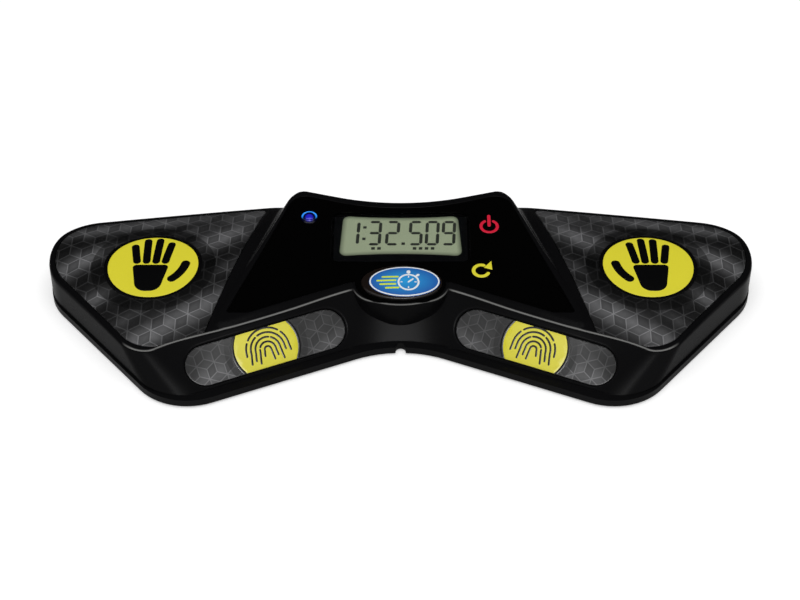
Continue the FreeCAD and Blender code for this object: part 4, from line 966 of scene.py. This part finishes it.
def hand_marks(inset):
    """A plain open hand beside the spot's middle: four fingers, a palm and a thumb, as loops."""
    tips = ((-6.6, -8.1, 11.6), (-2.8, -3.3, 15.4), (1.0, 1.5, 15.8), (4.7, 6.3, 13.2))
    fingers = [stroke([(foot, 2.4), (x, y)], 3.1 - 2 * inset) for foot, x, y in tips]
    corners = [(3.4, -14.6, 4.6), (-5.8, -14.6, 4.6), (-8.2, 0.3, 1.6), (6.4, 0.3, 1.6)]
    palm = rounded_loop(evenly(corners, inset), 12, 14)
    thumb = stroke(arc_line(16.0, -47, -10, (-2.9, 3.9)), 3.6 - 2 * inset)
    return [loop + PALM for loop in fingers + [palm, thumb]]


def ridge_marks(inset):
    """Arched fingertip ridges: half circles with tails, cut by gaps, as loops."""
    x, y = 0.4, -1.0
    lines = []
    for radius, gaps, left, right in ((1.3, [], 2.2, 4.2), (3.1, [(150, 168)], 4.6, 3.0),
                                      (4.9, [(60, 72)], 3.2, 4.8), (6.7, [(112, 122)], 4.0, 1.6),
                                      (8.5, [(38, 48), (140, 150)], 0.6, 2.4)):
        angles = [0, *[edge for gap in gaps for edge in gap], 180]
        for first, last in zip(angles[::2], angles[1::2]):
            path = arc_line(radius, first, last, (x, y))
            if first == 0:
                path = np.vstack([[(x + radius + 0.1 * right, y - right)], path])
            if last == 180:
                path = np.vstack([path, [(x - radius - 0.2 * left, y - left)]])
            lines.append(stroke(path, 0.78 - 2 * inset, 0.6))
    return lines


def cut_circle(radius, half, inset):
    """Closed loop of a circle between two level lines."""
    radius, count = radius - inset, 40
    t = math.degrees(math.asin((half - inset) / radius))
    right, left = arc_line(radius, t, -t, count=count), arc_line(radius, 180 + t, 180 - t, count=count)
    lower, upper = (np.linspace(a, b, count)[1:-1] for a, b in ((right[-1], left[0]), (left[-1], right[0])))
    return np.vstack([right, lower, left, upper])


class TIMER_OT_pads(Operator):
    """Makes the printed palm and finger pads"""
    bl_idname = "timer.pads"
    bl_label = "Pads"

    def execute(self, context):
        # screen-printed polyester films: grey lattice lines over soft black, lightened by pale slanting bands
        # of painted sheen
        palm_film = lattice_print("printed_palm_film", 9.1, (-77.7, 4.5), PALM, 24.6, 0.36)
        finger_film = lattice_print("printed_finger_film", 7.0, (-21.0, 0.4), (0, 0), 16.4, 0.36)
        # opaque inks: an even lemon yellow, and a black darker than the film round it
        yellow = ink("yellow_ink", context.scene.timer_colours.spot)
        black = ink("black_ink", linear("#060607"), 0.3)
        palm_painted_sheen, finger_painted_sheen = streaks(PALM_PAINTED_SHEEN), streaks(FINGER_PAINTED_SHEEN)
        pieces = (
            ("palm_film", lambda inset: [pad_line(0.15 + inset)], FILM_EDGE, on_wing, 2.0, palm_painted_sheen,
             palm_film, ["palm_pad"]),
            ("finger_film", lambda inset: [stadium(*RECESS, 0.15 + inset)], FILM_EDGE, on_strip, 1.8,
             finger_painted_sheen, finger_film, ["finger_pad"]),
            ("palm_spot", lambda inset: [oval(18.0 - inset, 18.0 - inset, 120, PALM)], INK, on_wing, 2.0,
             None, yellow, []),
            ("palm_ring", lambda inset: ring(19.5 - inset, 17.9 + inset, PALM, 160), OVER_INK, on_wing, None,
             None, black, []),
            ("palm_hand", hand_marks, OVER_INK, on_wing, 1.2, None, black, []),
            ("finger_spot", lambda inset: [cut_circle(12.6, 7.6, inset)], INK, on_strip, 1.8, None, yellow,
             []),
            ("finger_ring", lambda inset: [stroke(arc_line(13.1, turn - 33, turn + 33), 1.1 - 2 * inset)
                                           for turn in (0, 180)], OVER_INK, on_strip, None, None, black, []),
            ("finger_ridges", ridge_marks, OVER_INK, on_strip, None, None, black, []))
        for side in ("left", "right"):
            for name, outline, profile, place, pitch, tone, material, taken in pieces:
                parts, marks = plate(outline, profile, on_side(place, side), pitch, tone)
                make_piece(f"{side}_{name}", parts, material, marks=marks,
                           replaces=[f"{side}_{node}" for node in taken])
        return {"FINISHED"}


# ------------------------------------------------------------------ display, symbols and badge

def on_panel(flat, height):
    """Lifts plan points onto the panel's slope."""
    return np.column_stack([flat, panel_top(flat[:, 1]) + height])


def on_display(flat, height):
    """Lifts plan points onto the display's face, just under the panel."""
    return on_panel(flat, height - 1.06)


def lit_line(inset=0.0):
    """Outline of the display's lit area: long edges bowed inward, soft corners, wider at its foot."""
    corners = [(24.6, 12.3, 3.0), (-24.6, 12.3, 3.0), (-23.2, 34.9, 3.0), (23.2, 34.9, 3.0)]
    outline = rounded_loop(evenly(corners, inset), 12, [36, 14, 36, 14])
    x, y = outline.T
    bow = 1.25 * np.clip(1 - (x / 24.0) ** 2, 0, 1)
    return np.column_stack([x, y + np.where(y < 20, bow, -bow) * np.clip(np.abs(y - 24) / 9, 0, 1)])


def display_painted_shade(flat):
    """Painted shade: dark at the lit area's edge, full from 2 mm inside it."""
    return np.clip(-signed_distance(flat, lit_line()) / 2.2 + 0.12, 0, 1) ** 0.6


def divided(loop, count):
    """A closed loop with each of its edges cut into equal runs."""
    steps = np.linspace(0, 1, count + 1)[:-1, None]
    return np.vstack([a + (b - a) * steps for a, b in zip(loop, np.roll(loop, -1, axis=0))])


def digit_loops(inset):
    """Slanted seven-segment digits reading 1:32.509, with two and four mode squares below."""
    low, high, half, wide = 18.9, 31.3, 2.2, 1.3
    middle, gap = (low + high) / 2, 0.16
    lean = math.tan(math.radians(3))

    def bar(x0, y0, x1, y1):
        """Segment with slanting ends between two of the digit's corners."""
        along = np.array([x1 - x0, y1 - y0])
        along = along / np.linalg.norm(along)
        side = np.array([-along[1], along[0]]) * (wide / 2 - inset)
        a, b = np.array([x0, y0]) + along * (gap + inset), np.array([x1, y1]) - along * (gap + inset)
        cut = along * (wide / 2)
        return np.array([a + cut + side, b - cut + side, b, b - cut - side, a + cut - side, a])

    ends = {"a": (-half, high, half, high), "b": (half, middle, half, high), "c": (half, low, half, middle),
            "d": (-half, low, half, low), "e": (-half, low, -half, middle),
            "f": (-half, middle, -half, high), "g": (-half, middle, half, middle)}
    # the digits 3, 2, 5, 0 and 9 by their lit segments, then the 1, the colon, the point and the modes
    loops = [bar(*ends[key]) + [x, 0] for keys, x in
             (("abgcd", -10.5), ("abged", -3.2), ("afgcd", 6.1), ("abcdef", 12.75), ("abcdfg", 19.35))
             for key in keys]
    loops += [bar(0, middle, 0, high) + [-17.1, 0], bar(0, low, 0, middle) + [-17.1, 0]]
    square = np.array([(1, 1), (1, -1), (-1, -1), (-1, 1)])
    loops += [square * (0.68 - inset) + place
              for place in ((-14.6, middle + 3.2), (-14.6, middle - 3.2), (1.3, low + 0.3))]
    loops += [square * (0.72 - inset) + [x, 16.6] for x in (-10.6, -8.2, 6.0, 8.4, 10.8, 13.2)]
    full = [divided(loop, 4) for loop in loops]
    return [loop + np.column_stack([(loop[:, 1] - middle) * lean, loop[:, 1] * 0]) for loop in full]


def power_marks(inset):
    """The power sign: an open ring with a bar."""
    x, y = 35.7, 27.8
    return [stroke(arc_line(3.3, 122, 418, (x, y), 80), 1.25 - 2 * inset),
            stroke([(x, y + 0.5), (x, y + 5.8)], 1.35 - 2 * inset)]


def reset_marks(inset):
    """The reset sign: three quarters of a ring with an arrow head."""
    head = np.array([(36.2, 3.9), (35.9, 8.6), (32.9, 5.0)])
    middle = head.mean(0)
    head = middle + (head - middle) * (1 - inset / 1.3)
    return [stroke(arc_line(3.05, 70, 332, (31.8, 3.4), 70), 1.45 - 2 * inset), divided(head, 5)]


def lens_parts():
    """The indicator's lens: a rim and a low dome, turned about the vertical and set on the panel."""
    count = 64
    turn, t = np.linspace(0, 2 * np.pi, count, endpoint=False), np.linspace(0, np.pi / 2, 14)[1:]
    dome = np.column_stack([2.6 * np.cos(t), 0.25 + 1.2 * np.sin(t)])
    rim = [(0, -0.6), (3.3, -0.6), (3.3, 0.1), (3.22, 0.34), (3.0, 0.45), (2.75, 0.42), (2.6, 0.25)]
    profile = np.vstack([rim, dome])
    flat = np.vstack([np.column_stack([np.cos(turn), np.sin(turn)]) * radius for radius in profile[:, 0]])
    return [(on_panel(flat + LENS, np.repeat(profile[:, 1], count)), strips(len(profile), count))]


class TIMER_OT_display(Operator):
    """Makes the display's lit face and its digits behind the clear window"""
    bl_idname = "timer.display"
    bl_label = "Display"

    def execute(self, context):
        edge = [(0, -0.04), (0, 0.0), (0.2, 0.01), (0.5, 0.01), (0.9, 0.01), (1.4, 0.01), (2.0, 0.01)]
        parts, marks = plate(lambda inset: [lit_line(inset)], edge, on_display, 2.0, display_painted_shade)
        make_piece("display_face", parts, display_material(), marks=marks)
        # liquid-crystal segments: matt, greenish black, as they take up light instead of reflecting it
        segments = ink("lcd_segments", linear("#2b2f28"), 0.5)
        parts, _ = plate(digit_loops, [(0, 0.0), (0, 0.03), (0.04, 0.035)], on_display)
        make_piece("display_digits", parts, segments)
        return {"FINISHED"}


class TIMER_OT_symbols(Operator):
    """Makes the printed key symbols and the indicator's lens"""
    bl_idname = "timer.symbols"
    bl_label = "Symbols"

    def execute(self, context):
        colours = context.scene.timer_colours
        # inks printed on the panel: opaque red and yellow, with a soft gloss beside its mirror
        for name, outline, colour in (("power", power_marks, colours.power),
                                      ("reset", reset_marks, colours.spot)):
            parts, _ = plate(outline, INK, on_panel, 1.5)
            make_piece(f"{name}_symbol", parts, ink(f"{name}_ink", colour))
        make_piece("indicator_lens", lens_parts(), lens_material(), replaces=["led_lens"])
        return {"FINISHED"}


def on_badge(flat, height):
    """Lifts plan points onto the badge's dome: 1.5 mm high, falling as the square of the distance."""
    share = ((flat[:, 0] - BADGE[0]) / 15.2) ** 2 + ((flat[:, 1] - BADGE[1]) / 8.6) ** 2
    return on_panel(flat, 1.5 - 0.6 * share + height)


def stopwatch_marks(inset):
    """Rim of the badge's oval and a stopwatch: case, crown, button, hand and ticks."""
    x, y = BADGE[0] + 1.6, BADGE[1] - 0.7
    loops = [oval(13.75 - inset, 7.75 - inset, 110, BADGE), oval(13.2 + inset, 7.2 + inset, 110, BADGE)]
    loops += ring(4.3 - inset, 3.55 + inset, (x, y), 60)
    for path, width, pitch in (([(x, y + 5.2), (x, y + 5.7)], 1.5, 0.3),
                               ([(x + 3.4, y + 3.5), (x + 3.8, y + 3.9)], 1.1, 0.3),
                               ([(x, y), (x + 1.7, y + 1.6)], 0.7, 0.4)):
        loops.append(stroke(path, width - 2 * inset, pitch))
    for degrees in range(0, 360, 90):
        path = arc_line(2.5, degrees, degrees, (x, y), 1), arc_line(3.0, degrees, degrees, (x, y), 1)
        loops.append(stroke(np.vstack(path), 0.5 - 2 * inset, 0.3))
    return loops


def bar_marks(inset):
    """Bars that trail behind the stopwatch."""
    x, y = BADGE
    return [stroke([(x + a, y + b), (x + c, y + b)], 0.85 - 2 * inset)
            for a, b, c in ((-8.6, 2.1, -2.6), (-10.6, 0.2, -3.6), (-9.4, -1.7, -3.6), (-7.2, -3.6, -2.4))]


class TIMER_OT_badge(Operator):
    """Makes the oval badge: a dark backing, a domed blue face and a stopwatch drawn on it"""
    bl_idname = "timer.badge"
    bl_label = "Badge"

    def execute(self, context):
        # moulded plastic frame: brown black, glossy enough to show its rolled rim as a thin highlight
        backing = surface("moulded_dark_badge", linear("#17100d"), 0.28, 0.03, 0.5, 0.02, IOR=1.5)
        centre, (wide, deep) = (0.4, -3.35), BADGE_HALF
        parts, _ = plate(lambda inset: [oval(15.9 - inset, 8.8 - inset, 110, centre)],
                         [(0, -0.2), (0, 0.45), (0.08, 0.68), (0.3, 0.8), (0.8, 0.84)], on_panel, 1.6)
        make_piece("badge_backing", parts, backing, replaces=["badge_base"])
        parts, _ = plate(lambda inset: [oval(wide - inset, deep - inset, 110, BADGE)],
                         [(0, -1.0), (0, -0.12), (0.1, -0.02), (0.3, 0.0), (0.6, 0)], on_badge, 1.2)
        make_piece("badge_dome", parts, badge_material(), replaces=["badge_face"])
        # inks under the clear resin: a cool white and a lime green, both smoother than ink on film
        for name, outline, finish, code in (("badge_drawing", stopwatch_marks, "pale_badge_ink", "#e4e8ea"),
                                            ("badge_bars", bar_marks, "lime_badge_ink", "#cfe03a")):
            parts, _ = plate(outline, [(0, -0.04), (0, 0.02), (0.03, 0.04)], on_badge)
            make_piece(name, parts, ink(finish, linear(code), 0.25))
        return {"FINISHED"}


# ------------------------------------------------------------------ finishes of the solids that stay

# material, colour, roughness, its spread, grain in mm, depth of the grain, other sockets, solids
FINISHES = (
    # cast acrylic painted black behind: near black, and mirror smooth
    ("glossy_black_acrylic", "#030303", 0.06, 0.01, 0.8, 0.0, {"IOR": 1.49}, ["console_panel"]),
    # clear acrylic: only its reflections show, and the display behind it
    ("clear_acrylic_film", "#0a0b0b", 0.04, 0.01, 0.8, 0.0, {"IOR": 1.49, "Alpha": 0.06}, ["display_window"]),
    # the display's printed glass border: blue black behind the window
    ("dark_lcd_bezel", "#08090b", 0.3, 0.03, 0.4, 0.0, {"IOR": 1.4}, ["lcd_module"]),
    # silicone rubber in thin layers: light grey and matt
    ("silicone_strip", "#8d8a86", 0.6, 0.04, 0.3, 0.2, {}, ["lcd_connectors"]),
    # ABS from a finely blasted tool: a little duller than the upper shell
    ("moulded_base_abs", "#0c0c0d", 0.36, 0.04, 0.7, 0.06, {"IOR": 1.18}, ["base_shell", "battery_door"]),
    # moulded rubber: matt, with a fine dusty grain
    ("moulded_rubber", "#1c1b1a", 0.8, 0.05, 0.35, 0.4, {}, ["rubber_feet"]),
    # zinc-plated steel: bright, cool metal with a fine uneven grain
    ("zinc_plated_steel", "#a9adb2", 0.3, 0.06, 0.15, 0.2, {"Metallic": 1.0},
     ["case_screws", "board_screws", "battery_contacts", "battery_springs"]),
    # tinned copper foil and wire: warm metal with a soft sheen
    ("tinned_copper", "#b98a55", 0.32, 0.05, 0.2, 0.1, {"Metallic": 1.0},
     ["key_electrodes", "left_palm_sensor", "right_palm_sensor", "left_finger_sensor", "right_finger_sensor",
      "left_sensor_ribbon", "right_sensor_ribbon"]),
    # solder mask over glass cloth: dark green and satin, with a slight uneven relief
    ("solder_masked_fibreglass", "#0f4a2a", 0.4, 0.05, 0.6, 0.15, {}, ["main_board"]),
    # transfer-moulded epoxy: charcoal with a fine matt skin
    ("black_epoxy", "#141415", 0.5, 0.05, 0.3, 0.1, {}, ["processor", "data_jack"]),
    # cast diode epoxy: clear blue and glossy
    ("blue_diode_epoxy", "#2b55d8", 0.2, 0.03, 0.5, 0.02, {}, ["indicator_led"]),
    # shrunk printed sleeve of a dry cell: copper coloured, with a plastic gloss
    ("printed_cell_sleeve", "#b8702f", 0.3, 0.04, 0.5, 0.03, {}, ["batteries"]))


class TIMER_OT_finishes(Operator):
    """Gives the solids that stay their materials"""
    bl_idname = "timer.finishes"
    bl_label = "Finishes"

    def execute(self, context):
        for name, code, rough, spread, grain_mm, bump, sockets, solids in FINISHES:
            material = surface(name, linear(code), rough, spread, grain_mm, bump, **sockets)
            for solid in solids:
                mesh = bpy.data.objects[solid].data
                mesh.materials.clear()
                mesh.materials.append(material)
        return {"FINISHED"}


# ------------------------------------------------------------------ the studio

def seen_rays(tree, hidden, seen, kinds):
    """A strength for the camera's rays and those of some kinds, and another for the rest."""
    path = add_node(tree, "LightPath").outputs
    most = path["Is Camera Ray"]
    for kind in kinds:
        most = add_node(tree, "Math", {0: most, 1: path[kind]}, operation="MAXIMUM").outputs[0]
    return add_node(tree, "MapRange", {"Value": most, "To Min": hidden, "To Max": seen}).outputs[0]


def make_flag():
    """Black card curved over the timer from 44 degrees above the front horizon: seen only off gloss."""
    # cotton velvet on card: takes up all light
    velvet, _, _ = new_material("black_velvet_card", Roughness=1.0, Base_Color=linear("#000000"),
                                Specular_IOR_Level=0.0)
    radius, half_width, count = 1.6, 9.0, 40
    t = np.radians(np.linspace(44, 180, count))
    line = np.column_stack([-radius * np.cos(t), radius * np.sin(t)])
    points = np.vstack([np.column_stack([np.full(count, x), line]) for x in (-half_width, half_width)])
    flag = new_object("flag", points.tolist(), strips(2, count, closed=False).tolist(), velvet)
    flag.visible_camera = flag.visible_diffuse = flag.visible_shadow = flag.visible_transmission = False


def make_lamps():
    """A softbox for the diffuse light, and two strips that only gloss shows.

    Each has its place, its width and depth in metres, its power in watts, and whether gloss shows it.
    """
    for name, place, wide, deep, power, glossy in (
            ("softbox", (0, -0.2, 1.3), 1.4, 1.0, 10.0, False),
            ("strip", (0, 0.0, 1.2), 2.0, 0.12, 3.0, True),
            ("low_front", (0, -0.93, 0.92), 0.6, 0.14, 8.0, True)):
        light = bpy.data.lights.new(name, "AREA")
        light.shape, light.size, light.size_y, light.energy = "RECTANGLE", wide, deep, power
        lamp = bpy.data.objects.new(name, light)
        lamp.location = place
        lamp.rotation_euler = (-Vector(place)).to_track_quat("-Z", "Y").to_euler()
        lamp.visible_glossy, lamp.visible_diffuse = glossy, not glossy
        bpy.context.scene.collection.objects.link(lamp)


def make_camera():
    """An 85 mm camera that looks down at the timer from the front."""
    lens = bpy.data.cameras.new("camera")
    lens.lens, lens.sensor_width, lens.shift_x = 85.0, 36.0, -0.0008
    camera = bpy.data.objects.new("camera", lens)
    pitch, distance = math.radians(42.4), 0.762
    back = Vector((0, -math.cos(pitch), math.sin(pitch)))
    camera.location = Vector((0, 8.0, 0.8)) * MM + back * distance
    camera.rotation_mode = "QUATERNION"
    camera.rotation_quaternion = (-back).to_track_quat("-Z", "Y")
    bpy.context.scene.collection.objects.link(camera)
    bpy.context.scene.camera = camera


class TIMER_OT_studio(Operator):
    """Makes the floor, the lights, the world and the camera"""
    bl_idname = "timer.studio"
    bl_label = "Studio"

    def execute(self, context):
        context.scene.view_settings.view_transform = "Standard"
        # matt white paper: light grey by its own, lit up to the background's white for the camera
        paper, tree, shader = new_material("white_sweep", Roughness=0.9, Base_Color=linear("#dddddd"),
                                           Specular_IOR_Level=0.0, Emission_Color=linear("#ffffff"))
        strength = seen_rays(tree, 0.0, 0.42, ["Is Transmission Ray"])
        tree.links.new(strength, shader.inputs["Emission Strength"])
        floor = new_object("floor", [(-3, -3, 0), (3, -3, 0), (3, 3, 0), (-3, 3, 0)], [(0, 1, 2, 3)], paper)
        make_flag()
        world = bpy.data.worlds.new("studio")
        world.use_nodes = True
        context.scene.world = world
        tree = world.node_tree
        background = tree.nodes["Background"]
        background.inputs["Color"].default_value = linear("#ffffff")
        strength = seen_rays(tree, 0.5, 1.0, ["Is Glossy Ray", "Is Transmission Ray"])
        tree.links.new(strength, background.inputs["Strength"])
        make_lamps()
        make_camera()
        return {"FINISHED"}


class TIMER_PT_panel(Panel):
    """Lists the steps that dress the timer"""
    bl_label = "Timer"
    bl_space_type = "VIEW_3D"
    bl_region_type = "UI"
    bl_category = "Timer"

    def draw(self, context):
        for step in STEPS:
            self.layout.operator(step.bl_idname)


STEPS = (TIMER_OT_housing, TIMER_OT_pads, TIMER_OT_display, TIMER_OT_symbols, TIMER_OT_badge,
         TIMER_OT_finishes, TIMER_OT_studio)
CLASSES = (TimerSizes, TimerColours, *STEPS, TIMER_PT_panel)


def register():
    """Registers the classes and their settings."""
    for kind in CLASSES:
        bpy.utils.register_class(kind)
    bpy.types.Scene.timer_sizes = PointerProperty(type=TimerSizes)
    bpy.types.Scene.timer_colours = PointerProperty(type=TimerColours)


def unregister():
    """Takes them away again."""
    del bpy.types.Scene.timer_sizes
    del bpy.types.Scene.timer_colours
    for kind in reversed(CLASSES):
        bpy.utils.unregister_class(kind)


def main():
    """Runs every step in order."""
    register()
    bpy.ops.timer.housing()
    bpy.ops.timer.pads()
    bpy.ops.timer.display()
    bpy.ops.timer.symbols()
    bpy.ops.timer.badge()
    bpy.ops.timer.finishes()
    bpy.ops.timer.studio()


if __name__ == "__main__":
    main()
